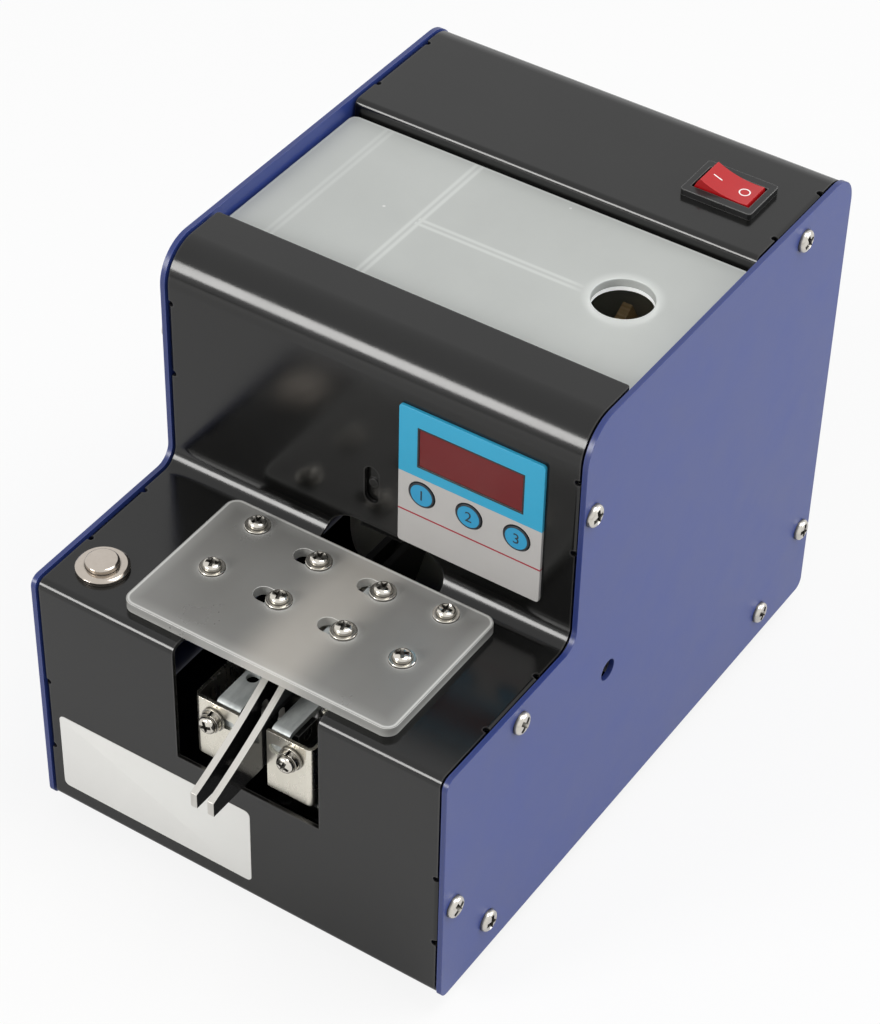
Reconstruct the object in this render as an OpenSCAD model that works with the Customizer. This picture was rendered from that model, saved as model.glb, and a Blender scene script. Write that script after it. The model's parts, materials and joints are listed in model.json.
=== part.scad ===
// Tabletop screw counting machine: bent sheet covers between two side panels, a hopper with
// scoop wheels, a vibrating pair of rails, an optical counter and a control panel.
// Millimetres, +Z up, -Y is the front where the rails come out, +X is the user's right.

/* [Body] */
// Overall width across the side panels
body_w = 130; // [124:1:150]
// Depth of the side panels
body_d = 194; // [190:1:220]
// Height of the low front deck above the panels' bottom edge
deck_h = 81; // [74:0.2:90]
// Height of the upper part above the deck
face_h = 69.6; // [64:0.2:80]
// Distance from the front edge to the upright face
face_y = 59.4; // [58:0.2:63]
// Thickness of the side panels
panel_t = 1.5; // [1.2:0.1:2.5]
// Thickness of the bent cover sheets
sheet_t = 1.2; // [0.8:0.1:1.5]
// How far the panel edges stand proud of the covers
lip = 0.4; // [0.2:0.1:0.8]
// Gap between a cover's edge and the panel beside it
side_gap = 0.8; // [0.2:0.1:1]
// Radius of the panel's upper front corner
brow_r = 11.5; // [8:0.5:14]
// Radius of the panel's inside corner above the deck
inner_r = 5.2; // [4:0.1:6]
// Radius of the panel's deck and bottom corners
deck_r = 3; // [2.5:0.5:4]
// Radius of the panel's upper rear corner
rear_r = 9.5; // [6:0.5:12]
// Rear edge of the front cover's top strip
strip_y = 82; // [81:0.5:82.5]
// Front edge of the rear cover's top strip
rear_y = 144.6; // [144:0.2:147]
// Length of the covers' bottom flanges
flange_len = 12.5; // [9:0.5:13]
// Thickness of the base plate
base_t = 1.5; // [1.2:0.1:2]
// Height of the rubber feet below the panels
foot_h = 6; // [4:0.5:10]
// Diameter of the rubber feet
foot_d = 16; // [12:0.5:18]
// Middle of a foot, in from the panels' faces and from their ends
foot_inset = [17, 22]; // [14:1:40]
// How much narrower a foot is at its bottom
foot_taper = 3; // [1:0.5:4]
// Recess under a foot: diameter and depth
foot_recess = [7, 3]; // [2:0.5:8]
// Hole in each side panel, along Y and up
side_hole = [77.3, 58.2]; // [20:0.1:100]
// Diameter of that hole
side_hole_d = 6.4; // [4:0.2:8]

/* [Side tabs: centre along the edge, length, screw depth] */
// Tab on the front face
front_tab = [32.6, 22.4, 4.4]; // [3:0.1:40]
// Tab on the deck
deck_tab = [33.3, 21.4, 5.5]; // [3:0.1:40]
// Tab on the upright face, its centre below the top
face_tab = [28, 21.4, 3.8]; // [3:0.1:30]
// Tab on the rear top strip
strip_tab = [167.3, 22.6, 6.8]; // [3:0.1:180]
// Tab on the back
back_tab = [26.4, 22.4, 5.4]; // [3:0.1:40]
// Front tab of the base plate
base_tab_front = [21.4, 22, 10]; // [8:0.1:40]
// Rear tab of the base plate, its centre in front of the panels' rear edge
base_tab_rear = [27.4, 22, 8.4]; // [8:0.1:40]
// Width of the relief notches beside a tab
notch_w = 1.8; // [0.8:0.1:2.6]
// Depth of the relief notches
notch_d = 2.2; // [2:0.1:4]
// Outer bend radius of a tab
tab_r = 1.8; // [1.6:0.1:2.4]
// Metal behind a tab's screw
tab_depth = 5; // [4:0.5:6]

/* [Screws] */
// Shank diameter of the machine screws
screw_d = 3; // [2.5:0.1:3]
// Head diameter of the pan heads
head_d = 6; // [5:0.1:6.5]
// Height of the pan heads
head_h = 2.1; // [1.6:0.1:2.4]
// Length of the side screws' shanks
shank_len = 6; // [4:0.5:8]
// Radial room around a shank in a clearance hole
hole_gap = 0.2; // [0.1:0.05:0.3]
// Radial room around a shank in the hole that it is driven into
thread_gap = 0.05; // [0.02:0.01:0.08]
// Room around a part that sits in a cut-out
seat_gap = 0.1; // [0.05:0.05:0.2]

/* [Rails] */
// Centre line of the feed across the body
feed_x = 3.5; // [2:0.5:5]
// Thickness of one rail plate
rail_t = 2; // [1.5:0.1:2]
// Gap between the rails, where the screw shanks hang
rail_gap = 3.3; // [2.5:0.1:3.5]
// Depth of the rails' level run below the deck
rail_drop = 3; // [2.8:0.1:3.5]
// How far the rail tips stand out of the front
tip_out = 18.5; // [10:0.5:24]
// Height of the rail plates at the nose
nose_h = 27.3; // [26:0.1:30]
// Point that the hollow top edge of the nose passes through, along Y and from the level run
nose_mid = [-0.5, -14.5]; // [-18:0.1:2]
// Slope of the nose at that point, degrees
nose_slope = 27; // [24:0.5:29]
// Radius of the hollow top edge of the nose
nose_r = 190; // [150:5:260]
// Height of the rail plates on the carrier
seat_h = 18; // [17:0.1:19]
// Height of the rail plates inside the hopper
tail_h = 7.5; // [6:0.1:8]
// Rear end of the rails
rail_end = 136.5; // [120:0.5:138]
// Rail bolts: distance from the ends of the carrier
bolt_inset = 8; // [6:0.5:10]
// Heads of the rail bolts: diameter and height
bolt_head = [5.5, 3]; // [2:0.1:6]
// Nuts of the rail bolts: width across corners and height
bolt_nut = [5.9, 2.4]; // [2:0.1:6.2]

/* [Vibrator] */
// Front face of the vibrator's blocks
vib_y = 28; // [28:0.5:29]
// Length of the vibrator's blocks
vib_len = 38; // [34:0.5:38]
// Width of the vibrator's base block
vib_w = 27; // [24:0.5:29]
// Height of the rubber mounts
mount_h = 6.9; // [5:0.1:8]
// Diameter of the rubber mounts
mount_d = 10; // [8:0.5:11]
// Height of the base block
vib_base_h = 14; // [12:0.5:15]
// Thickness of the carrier's foot
carrier_h = 10; // [8:0.5:11]
// Width of the carrier's foot
carrier_w = 23; // [22:0.5:26]
// Height of the carrier's rib between the rails
carrier_rib = 6; // [5:0.5:7]
// Thickness of a leaf spring
leaf_t = 0.8; // [0.5:0.1:1]
// Width of a leaf spring
leaf_w = 20; // [18:0.5:22]
// Thickness of the spring clamp bars
clamp_t = 3; // [2.5:0.5:3.5]
// Height of the spring clamp bars
clamp_h = 8; // [7:0.5:8.5]
// Half spacing of the clamp screws
clamp_dx = 6; // [5:0.5:6.5]
// How deep the clamp screws reach into the blocks
clamp_screw_in = 5; // [4:0.5:6]
// Magnet core: width, length of its legs
core_size = [15, 14]; // [10:0.5:18]
// Distance from the front of the blocks to the core
core_inset = 6; // [5:0.5:7]
// Room over the magnet core
core_room = 6; // [4:0.5:8]
// Thickness of the armature
armature_t = 4; // [3:0.5:5]
// Air gap that is left between magnet core and armature at the end of the travel
air_gap = 0.8; // [0.6:0.1:1.2]
// Travel of the vibration to either side
vib_travel = 0.4; // [0.2:0.1:0.5]

/* [Hopper] */
// Axle of the scoop wheels behind the front edge
axle_y = 112; // [111.5:0.1:112.5]
// Depth of the axle below the rails' level run
axle_drop = 14; // [12:0.1:16]
// Inner radius of the hopper's trough
trough_r = 29; // [28.5:0.1:29.2]
// Thickness of the hopper's sheet
trough_t = 1.5; // [1:0.1:1.6]
// Radius of the scoop wheels
wheel_r = 27.5; // [24:0.5:28]
// Width of one scoop wheel
wheel_w = 13.6; // [10:0.2:14]
// Thickness of the scoop paddles and of the wheel discs
paddle_t = 2; // [1.5:0.1:3]
// Slant of the paddles towards the rails, degrees
paddle_slant = 18; // [0:1:25]
// Diameter of the wheel hubs
hub_d = 13; // [10:0.5:16]
// Diameter of the wheel shaft
shaft_d = 6; // [5:0.1:8]
// Radial running clearance of shafts and plungers
run_gap = 0.05; // [0.02:0.01:0.09]
// Gaps beside the scoop wheels: to the motor's screw heads, to the bearing board
wheel_gap = [0.7, 1.5]; // [0.5:0.1:2]
// Reach of the wheel shaft into the gear motor
shaft_in = 12; // [10:0.5:14]
// Room around the rails in the hopper's wall: beside, below, above
rail_room = [1.4, 2, 6]; // [1:0.1:8]
// Left wall of the hopper
hopper_left = -20.5; // [-22:0.1:-20]
// Gap between the hopper and the right panel, for the tabs
hopper_gap = 1.2; // [1.2:0.1:2]
// Thickness of the bakelite boards
board_t = 3; // [2:0.5:4]
// Left face of the bearing board
board_x = 29.5; // [26:0.5:30]
// Pointed rear corner of the bearing board: in front of the trough's wall, above the deck
board_tip = [5, 46.4]; // [4:0.1:50]
// Front height of the bearing board above the deck
board_front = 12; // [4:0.5:14]
// Lower edge of the slope board above the axle
slope_rise = 16; // [12:0.5:18]
// Room between the boards and the trough
board_fit = 0.2; // [0.1:0.05:0.3]
// Thickness of the baffle across the hopper
baffle_t = 3; // [2:0.5:4]
// Middle of the baffle behind the front edge
baffle_y = 113; // [105:0.5:120]
// Lower edge of the baffle above the deck
baffle_rise = 19; // [14:0.5:25]
// Floor of the side tray above the deck
side_tray_rise = 31; // [20:0.5:40]
// Gap between the left panel and the side tray
side_tray_gap = 11.8; // [6:0.2:16]
// Legs of the hopper's ends: width, length of their feet
end_leg = [44, 12]; // [8:1:48]

/* [Gear motor] */
// Gear case across, deep and high
motor_size = [25, 43, 32]; // [22:0.5:44]
// Distance from the axle to the front of the gear case
motor_front = 14; // [12:0.5:16]
// Screws of the gear case: inset from its front and edges, spacing along it
motor_screw = [4, 26]; // [3.5:0.5:28]
// How deep those screws reach
motor_screw_in = 4.5; // [3:0.5:6]
// Diameter of the motor can
can_d = 24.4; // [20:0.2:25]
// Length of the motor can
can_len = 31; // [25:0.5:34]

/* [Lid] */
// Thickness of the frosted lid
lid_t = 4; // [3:0.5:5]
// How far the lid lies below the panels' top edge
lid_drop = 4.5; // [3:0.1:8]
// Room around the lid
lid_gap = 0.8; // [0.4:0.1:1.2]
// Centre of the finger hole
lid_hole = [40.6, 115.6]; // [0:0.1:120]
// Diameter of the finger hole
lid_hole_d = 16.8; // [14:0.2:22]
// Corner radius of the lid
lid_r = 2.5; // [1:0.5:4]
// Gap under the lid
lid_seat_gap = 0.3; // [0.2:0.05:0.5]

/* [Rail cover] */
// Frosted rail cover: depth and thickness
cover_size = [49, 3]; // [3:0.5:50]
// Edges of the rail cover, in from the left and the right panel's outer face
cover_edge = [26, 20]; // [18:0.5:30]
// Gap between the rail cover and the bend behind it
cover_gap = 0.2; // [0.1:0.05:1]
// Corner radius of the rail cover
cover_r = 3.5; // [2:0.5:6]
// Screws of the rail cover: in from its side edges, rows in front of its rear edge
cover_screws = [12.2, 26, 6]; // [5:0.1:28]
// Guide screws: half spacing across, rows in front of the cover's rear edge
guide_screws = [10.1, 26.3, 8.5]; // [6:0.1:28]
// Travel of a head guide along its slots
guide_travel = 5; // [2:0.5:5]
// Width of the slots in the rail cover
guide_slot_w = 5.4; // [4:0.1:5.6]
// Screws of the rail cover: diameter and height of the crown, diameter and thickness of the washer face
cover_head = [5.6, 1.7, 7.2, 0.6]; // [0.4:0.1:8]
// How deep the cover's screws reach below it
cover_screw_in = 4; // [3:0.5:5]
// Edges of the head guides: inner edge from the feed line, front edge
guide_edge = [5, 20.5]; // [4.5:0.1:22]
// Metal outside the guide screws
guide_rim = 5; // [3:0.5:5]
// Thickness of the head guides
guide_t = 1.8; // [1:0.1:1.8]
// Vertical gap between a guide and its neighbours
guide_gap = 0.3; // [0.2:0.05:0.35]

/* [Front openings] */
// Width of the notch in the front
notch_front_w = 45.4; // [44:0.2:50]
// Depth of the front notch below the deck
notch_front_h = 39.9; // [38:0.1:42]
// Centre of the opening in the upright face, right of the feed line
feed_open_dx = 2.8; // [0:0.1:4]
// Width of the opening in the upright face
feed_open_w = 38; // [34:0.5:42]
// Height of that opening above the deck
feed_open_h = 8.5; // [8:0.1:11]
// Corner radius of that opening
feed_open_r = 9.5; // [4:0.5:10]
// Oblong slot in the upright face: left of the feed line, lower and upper end above the deck
gate_slot = [2.1, 16.4, 28.4]; // [0:0.1:32]
// Width of the oblong slot
gate_slot_w = 4.4; // [3.2:0.1:5]
// Height gate: width, lower edge and upper edge above the deck
gate = [13, 5.5, 35]; // [5:0.5:38]
// Thickness of the height gate
gate_t = 1.5; // [1:0.1:2]
// Gap between the height gate and the upright face
gate_gap = 0.3; // [0.2:0.05:0.5]

/* [Sensor] */
// Front face of the sensor brackets behind the front edge
bracket_y = 3.4; // [3:0.1:4]
// Sheet of the sensor brackets
bracket_t = 1; // [0.8:0.1:1.2]
// Inner and outer edge of a bracket, from the feed line
bracket_x = [4.4, 18.7]; // [4:0.1:20]
// Upper and lower edge of a bracket below the rails' level run
bracket_drop = [13.7, 34]; // [12:0.1:36]
// Length of a bracket's side, front to back
bracket_back = 21; // [18:0.5:24]
// Bracket posts: thickness, width, length of the foot
post_size = [2, 10, 8]; // [1.5:0.5:12]
// How far a post ends below its bracket's upper edge
post_drop = 3; // [2:0.5:6]
// Bracket screws: distance from the feed line, depth below the upper edge
bracket_screws = [12.3, 5.5]; // [5:0.1:13]
// Heads of the bracket screws: diameter and height
bracket_head = [5.2, 1.8]; // [1.6:0.1:6]
// Thickness of the flat and the split washers
washer_t = [0.8, 1.5]; // [0.6:0.1:1.6]
// Diameter of the flat and the split washers
washer_d = [7, 6.1]; // [5.4:0.1:7.5]
// Sensor holders from the feed line: inner edges, outer edge of the left one and of the right one
holder_x = [5, 12.4, 10.6]; // [4.6:0.1:14]
// Sheet of the sensor holders
holder_t = 1.5; // [1:0.1:1.8]
// Rear edge of the sensor holders
holder_end = 20.5; // [18:0.1:22]
// Light beam through the rails, along Y and below their level run
beam_at = [11, 17.2]; // [9:0.1:18]
// How much longer than wide the rails' light slot is
beam_slot = 3; // [2:0.5:5]
// Diameter of the diodes
diode_d = 3; // [3:0.1:3.4]
// Diode blocks: width, length, depth below the beam
diode_block = [6, 8, 4]; // [3:0.5:9]
// Gap between a diode's lens and the rail
lens_gap = 2; // [1:0.1:2.5]

/* [Control panel] */
// Centre of the overlay right of the feed line
overlay_dx = 28.4; // [28:0.1:32]
// Width of the overlay
overlay_w = 43.2; // [40:0.1:44]
// Margins of the overlay on the flat of the face: below, above
overlay_margin = [4.15, 3.45]; // [1:0.05:6]
// Thickness of the overlay
overlay_t = 1; // [0.6:0.1:1.4]
// Corner radius of the overlay
overlay_r = 1; // [0.5:0.5:3]
// Display window: centre below the overlay's upper edge, width, height
window = [11.75, 30.8, 11.9]; // [8:0.05:34]
// Keys: pitch, centres below the overlay's upper edge
keys = [14.3, 26.85]; // [12:0.05:28]
// Diameter of the keys
key_d = 7.6; // [6:0.1:8]
// Travel of the keys
key_travel = 0.4; // [0.2:0.05:0.5]
// Room around a key
key_gap = 0.3; // [0.2:0.05:0.5]
// Thickness of a key's cap
key_t = 1.2; // [1:0.1:1.4]
// Diameter of a key's stem
key_stem_d = 3; // [2:0.1:3.4]
// Push switches on the board: width, height of the case, height of the plunger
tact = [6, 3.4, 0.6]; // [0.4:0.1:7]
// Board posts: inset from the overlay's side and from its top and bottom
post_inset = [2.2, 2.4]; // [2:0.1:2.6]
// Distance from the cover to the control board
board_gap = 5; // [4.6:0.1:7]
// Thickness of the control board
pcb_t = 1.6; // [1:0.1:2]

/* [Push button] */
// Centre of the push button, in from the left panel's outer face and the front edge
button_at = [12.8, 14.2]; // [11:0.1:20]
// Diameter of the button's flange
button_d = 14.6; // [13.5:0.1:16]
// Diameter of the moving cap
cap_d = 9.2; // [7:0.1:9.6]
// Diameter of the threaded body
button_body_d = 12; // [11:0.1:12.6]
// Travel of the cap
cap_travel = 1.8; // [1:0.1:2]
// Heights above the deck: flange, cap
button_h = [2.2, 4]; // [2:0.1:4.4]
// Length of the threaded body
button_len = 20; // [14:0.5:24]

/* [Rocker switch] */
// Centre of the switch: in from the right panel's outer face, behind the rear strip's front edge
switch_at = [22.4, 21]; // [14:0.1:36]
// Bezel across and deep
bezel = [21.2, 15.6]; // [14:0.1:22]
// Height of the bezel
bezel_h = 2; // [1.5:0.1:2.5]
// Body of the switch across, deep and high
switch_body = [18.8, 12.6, 14]; // [10:0.1:20]
// Radius of the rocker's rounded underside
rocker_r = 8.3; // [7:0.1:8.5]
// Width of the rocker
rocker_w = 9.6; // [8:0.1:10]
// Tilt of the rocker to either side, degrees
rocker_tilt = 10; // [6:1:12]

/* [Power inlet] */
// Centre of the power inlet: in from the right panel's outer face, up
inlet_at = [27, 24]; // [20:0.1:40]
// Diameter of the inlet's flange
inlet_d = 13; // [11:0.1:14]
// Diameter of the inlet's threaded body
inlet_body_d = 10.6; // [9:0.1:11]
// Thickness of the inlet's flange
inlet_flange = 1.8; // [1:0.1:2.5]
// Length of the inlet's threaded body
inlet_len = 14; // [12:0.5:18]
// Socket in the inlet: diameter, depth below the flange
socket = [6.4, 10]; // [5.5:0.1:11]

/* [Hidden] */
$fn = 64;
eps = 0.01;

top_h = deck_h + face_h;
inner_hw = body_w / 2 - panel_t;           // inner faces of the panels
sheet_hw = inner_hw - side_gap;            // half width of the covers
front_y = lip;                             // outer faces of the covers
deck_z = deck_h - lip;
upright_y = face_y + lip;
strip_z = top_h - lip;
back_y = body_d - lip;
corner_r = deck_r - lip;
rear_sheet_r = rear_r - lip;
brow_sheet_r = brow_r - lip;
base_z = lip + sheet_t;                    // base plate lies on the covers' flanges
floor_z = base_z + base_t;
clear_d = screw_d + 2 * hole_gap;
thread_d = screw_d + 2 * thread_gap;
base_tabs = [base_tab_front, [body_d - base_tab_rear[0], base_tab_rear[1], base_tab_rear[2]]];
rear_max = back_y + inlet_flange;
mid_y = (rear_max - tip_out) / 2;          // middle of the whole machine, front to back
lid_top = top_h - lid_drop;
lid_z = lid_top - lid_t;
wall_top = lid_z - lid_seat_gap;           // hopper walls end under the lid
hopper_right = inner_hw - hopper_gap;
rail_top = deck_h - rail_drop;
baffle_z = deck_h + baffle_rise;
side_tray_z = deck_h + side_tray_rise;
side_tray_x = side_tray_gap - inner_hw;
axle = [axle_y, rail_top - axle_drop];
trough_front = axle[0] - trough_r;         // inner faces of the trough's walls
trough_rear = axle[0] + trough_r;
nose_z = rail_top - nose_h;
rail_seat = rail_top - seat_h;
tail_z = rail_top - tail_h;
rail_in = rail_gap / 2;                    // faces of the rails, from the feed line
rail_out = rail_in + rail_t;
nose_c = nose_mid + [0, rail_top] + nose_r * [-sin(nose_slope), cos(nose_slope)];
vib_end = vib_y + vib_len;
vib_base_z = floor_z + mount_h;
vib_base_top = vib_base_z + vib_base_h;
carrier_z = rail_seat - carrier_h;
rail_step = vib_y - leaf_t - clamp_t - head_h - 1;  // the nose ends in front of the clamp screws
bolt_z = rail_seat + carrier_rib / 2;
bolt_ys = [vib_y + bolt_inset, vib_end - bolt_inset];
clamp_low_z = vib_base_z + (vib_base_h - clamp_h) / 3;
leaf_z = [clamp_low_z, carrier_z + clamp_h];
core_y = vib_y + core_inset;
core_w = core_size[0];
core_leg = core_size[1];
core_h = carrier_z - vib_base_top - core_room;
core_bar = core_h / 5;                     // the five equal steps of an E core
armature_gap = 1;                          // over the vibrator's base
cover_w = body_w - cover_edge[0] - cover_edge[1];
cover_x = (cover_edge[0] - cover_edge[1]) / 2;
cover_rear = face_y - inner_r - cover_gap;
cover_top = deck_z + cover_size[1];
guide_z = deck_z - guide_gap - guide_t;
guide_x = feed_x + 1.4;                    // the guide screws stand at the right ends of their slots
motor_y = axle[0] - motor_front;
motor_z = axle[1] - motor_size[2] / 2;
bush_d = shaft_d + 4;
overlay_z = [deck_h + inner_r + overlay_margin[0], strip_z - brow_sheet_r - overlay_margin[1]];
overlay_size = [overlay_w, overlay_z[1] - overlay_z[0]];
overlay_pos = [feed_x + overlay_dx, (overlay_z[0] + overlay_z[1]) / 2];
pcb_y = upright_y + sheet_t + board_gap;
key_x = [for (i = [-1 : 1]) overlay_pos[0] + i * keys[0]];
key_z = overlay_z[1] - keys[1];
window_z = overlay_z[1] - window[0];
port_hw = keys[0] + key_d / 2 + 2 * key_gap;  // half width of the port behind the overlay
button_pos = [button_at[0] - body_w / 2, button_at[1]];
button_bore = 8;                           // depth of the cap's bore below the deck
switch_pos = [body_w / 2 - switch_at[0], rear_y + switch_at[1]];
inlet_pos = [body_w / 2 - inlet_at[0], inlet_at[1]];
pivot_z = strip_z - 0.6;
pivot_d = 2;
gate_y = upright_y + sheet_t + gate_gap;
gate_x = feed_x - gate_slot[0];
gate_screw_z = deck_h + (gate_slot[1] + gate_slot[2]) / 2;
notch_front_z = deck_h - notch_front_h;
feed_open_x = feed_x + feed_open_dx;
feed_open_z = deck_h + feed_open_h;
bracket_z = [rail_top - bracket_drop[1], rail_top - bracket_drop[0]];
bracket_screw = [bracket_screws[0], bracket_z[1] - bracket_screws[1]];
beam = [beam_at[0], rail_top - beam_at[1]];
holder_top = bracket_z[1] + 0.3;
washer_y = [bracket_y - washer_t[0], bracket_y - washer_t[0] - washer_t[1]];
black_coat = [0.16, 0.16, 0.16];
blue_paint = [0.2, 0.25, 0.55];
nickel = [0.8, 0.78, 0.72];
zinc = [0.64, 0.67, 0.67];
frosted = [0.75, 0.77, 0.76, 0.8];
bakelite = [0.68, 0.54, 0.36];
steel = [0.7, 0.7, 0.7];
rubber_black = [0.08, 0.08, 0.08];

// Moves the body frame to the middle of the machine's footprint
module placed() { translate([0, -mid_y, foot_h]) children(); }

// Outline in Y and Z, drawn out along X
module along_x(x, len) { translate([x, 0, 0]) rotate([90, 0, 90]) linear_extrude(len) children(); }

// Outline in X and Z, drawn out along Y
module along_y(y, len) { translate([0, y + len, 0]) rotate([90, 0, 0]) linear_extrude(len) children(); }

module rod_x(p, d, len) { translate(p) rotate([0, 90, 0]) cylinder(d = d, h = len); }
module rod_y(p, d, len) { translate(p) rotate([-90, 0, 0]) cylinder(d = d, h = len); }
module both_sides() { children(); mirror([1, 0, 0]) children(); }

// Mirrors about the feed line
module both_feed_sides() {
    children();
    translate([2 * feed_x, 0, 0]) mirror([1, 0, 0]) children();
}

// Quarter of a ring: quadrant 0 is right and up, then anticlockwise
module quarter_ring(c, r, t, q) {
    translate(c) intersection() {
        difference() { circle(r); circle(r - t); }
        rotate(90 * q) square(r + 1);
    }
}

// What a rounded outer corner loses: q turns it anticlockwise from the lower left corner
module corner_cut(p, r, q) {
    translate(p) rotate(90 * q) difference() {
        translate([-1, -1]) square(r + 1);
        translate([r, r]) circle(r);
    }
}

module round_rect(size, r) {
    signs = [[-1, -1], [1, -1], [1, 1], [-1, 1]];
    difference() {
        square(size, center = true);
        for (q = [0 : 3]) corner_cut([signs[q][0] * size[0] / 2, signs[q][1] * size[1] / 2], r, q);
    }
}

module slot_2d(w, len) {
    square([len - w, w], center = true);
    for (s = [-1, 1]) translate([s * (len - w) / 2, 0]) circle(d = w);
}

// Crown of a pan head, half of its section
module crown_2d(d, h) {
    crown_r = 0.75 * d;
    intersection() {
        square([d / 2, h]);
        translate([0, h - crown_r]) circle(crown_r);
    }
}

// Pan head on a shank, pointing down, with the seat of its head at the origin
module pan_screw(len, d = head_d, h = head_h) {
    rotate_extrude() {
        translate([0, -len]) square([screw_d / 2, len + eps]);
        crown_2d(d, h);
    }
}

// Screw of the rail cover, whose head has a washer face, with a thicker shoulder under it
module cover_screw(len, shoulder_d = screw_d, shoulder = 0) {
    rotate_extrude() {
        translate([0, -len]) square([screw_d / 2, len + eps]);
        translate([0, -shoulder]) square([shoulder_d / 2, shoulder + eps]);
        square([cover_head[2] / 2, cover_head[3]]);
        translate([0, cover_head[3] - eps]) crown_2d(cover_head[0], cover_head[1] + eps);
    }
}

// A tab bent off a sheet's edge. X points to the panel, Y into the machine, Z along the edge.
module tab_2d(depth) {
    quarter_ring([-tab_r, tab_r], tab_r, sheet_t, 3);
    translate([-sheet_t, tab_r]) square([sheet_t, depth - tab_r]);
    translate([-notch_d - 1, 0]) square([notch_d + 1 - tab_r, sheet_t]);
}
module tab(spec) {
    difference() {
        translate([0, 0, -spec[1] / 2]) linear_extrude(spec[1]) tab_2d(spec[2] + tab_depth);
        rod_x([-sheet_t - 1, spec[2], 0], thread_d, sheet_t + 2);
    }
}
module tab_cut(spec) {
    translate([-tab_r, -1, -spec[1] / 2]) cube([tab_r + 1, sheet_t + 2, spec[1]]);
    relief_notches(spec, sheet_t);
}
// Notches with round ends on both sides of a tab, in a sheet of thickness t
module relief_notches(spec, t) {
    end = notch_w / 2 - notch_d;
    for (s = [-1, 1]) translate([0, -1, s * (spec[1] + notch_w) / 2]) {
        translate([end, 0, -notch_w / 2]) cube([1 - end, t + 2, notch_w]);
        rod_y([end, 0, 0], notch_w, t + 2);
    }
}
module at_front() { translate([inner_hw, front_y, front_tab[0]]) children(); }
module at_deck() { translate([inner_hw, deck_tab[0], deck_z]) rotate([-90, 0, 0]) children(); }
module at_face() { translate([inner_hw, upright_y, top_h - face_tab[0]]) children(); }
module at_strip() { translate([inner_hw, strip_tab[0], strip_z]) rotate([-90, 0, 0]) children(); }
module at_back() { translate([inner_hw, back_y, back_tab[0]]) rotate([180, 0, 0]) children(); }
module at_base(spec) { translate([inner_hw, spec[0], base_z]) rotate([90, 0, 0]) children(); }
module each_tab() {
    at_front() translate([0, front_tab[2], 0]) children();
    at_deck() translate([0, deck_tab[2], 0]) children();
    at_face() translate([0, face_tab[2], 0]) children();
    at_strip() translate([0, strip_tab[2], 0]) children();
    at_back() translate([0, back_tab[2], 0]) children();
    for (spec = base_tabs) at_base(spec) translate([0, spec[2], 0]) children();
}

// Side panels, covers and base
module panel_outline() {
    difference() {
        union() {
            square([body_d, deck_h]);
            translate([face_y, 0]) square([body_d - face_y, top_h]);
            translate([face_y - inner_r, deck_h]) difference() {
                square(inner_r);
                translate([0, inner_r]) circle(inner_r);
            }
        }
        corner_cut([0, deck_h], deck_r, 3);
        corner_cut([face_y, top_h], brow_r, 3);
        corner_cut([body_d, top_h], rear_r, 2);
        corner_cut([0, 0], deck_r, 0);
        corner_cut([body_d, 0], deck_r, 1);
    }
}
module side_panel() {
    difference() {
        along_x(inner_hw, panel_t) difference() {
            panel_outline();
            translate(side_hole) circle(d = side_hole_d);
        }
        each_tab() rod_x([-1, 0, 0], clear_d, panel_t + 2);
    }
}
module side_panel_right() { color(blue_paint) side_panel(); }
module side_panel_left() { color(blue_paint) mirror([1, 0, 0]) side_panel(); }

module front_cover_outline() {
    low_c = front_y + corner_r;
    translate([low_c, lip]) square([flange_len - corner_r, sheet_t]);
    quarter_ring([low_c, lip + corner_r], corner_r, sheet_t, 2);
    translate([front_y, lip + corner_r]) square([sheet_t, deck_z - lip - 2 * corner_r]);
    quarter_ring([low_c, deck_z - corner_r], corner_r, sheet_t, 1);
    translate([low_c, deck_z - sheet_t]) square([face_y - inner_r - low_c, sheet_t]);
    quarter_ring([face_y - inner_r, deck_h + inner_r], inner_r + lip + sheet_t, sheet_t, 3);
    translate([upright_y, deck_h + inner_r]) square([sheet_t, strip_z - brow_sheet_r - deck_h - inner_r]);
    quarter_ring([upright_y + brow_sheet_r, strip_z - brow_sheet_r], brow_sheet_r, sheet_t, 1);
    translate([upright_y + brow_sheet_r, strip_z - sheet_t])
        square([strip_y - upright_y - brow_sheet_r, sheet_t]);
}
module feed_opening() {
    half = feed_open_w / 2;
    low = deck_z - sheet_t - 2;
    difference() {
        translate([feed_open_x - half, low]) square([feed_open_w, feed_open_z - low]);
        corner_cut([feed_open_x - half, feed_open_z], feed_open_r, 3);
        corner_cut([feed_open_x + half, feed_open_z], feed_open_r, 2);
    }
}
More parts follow.
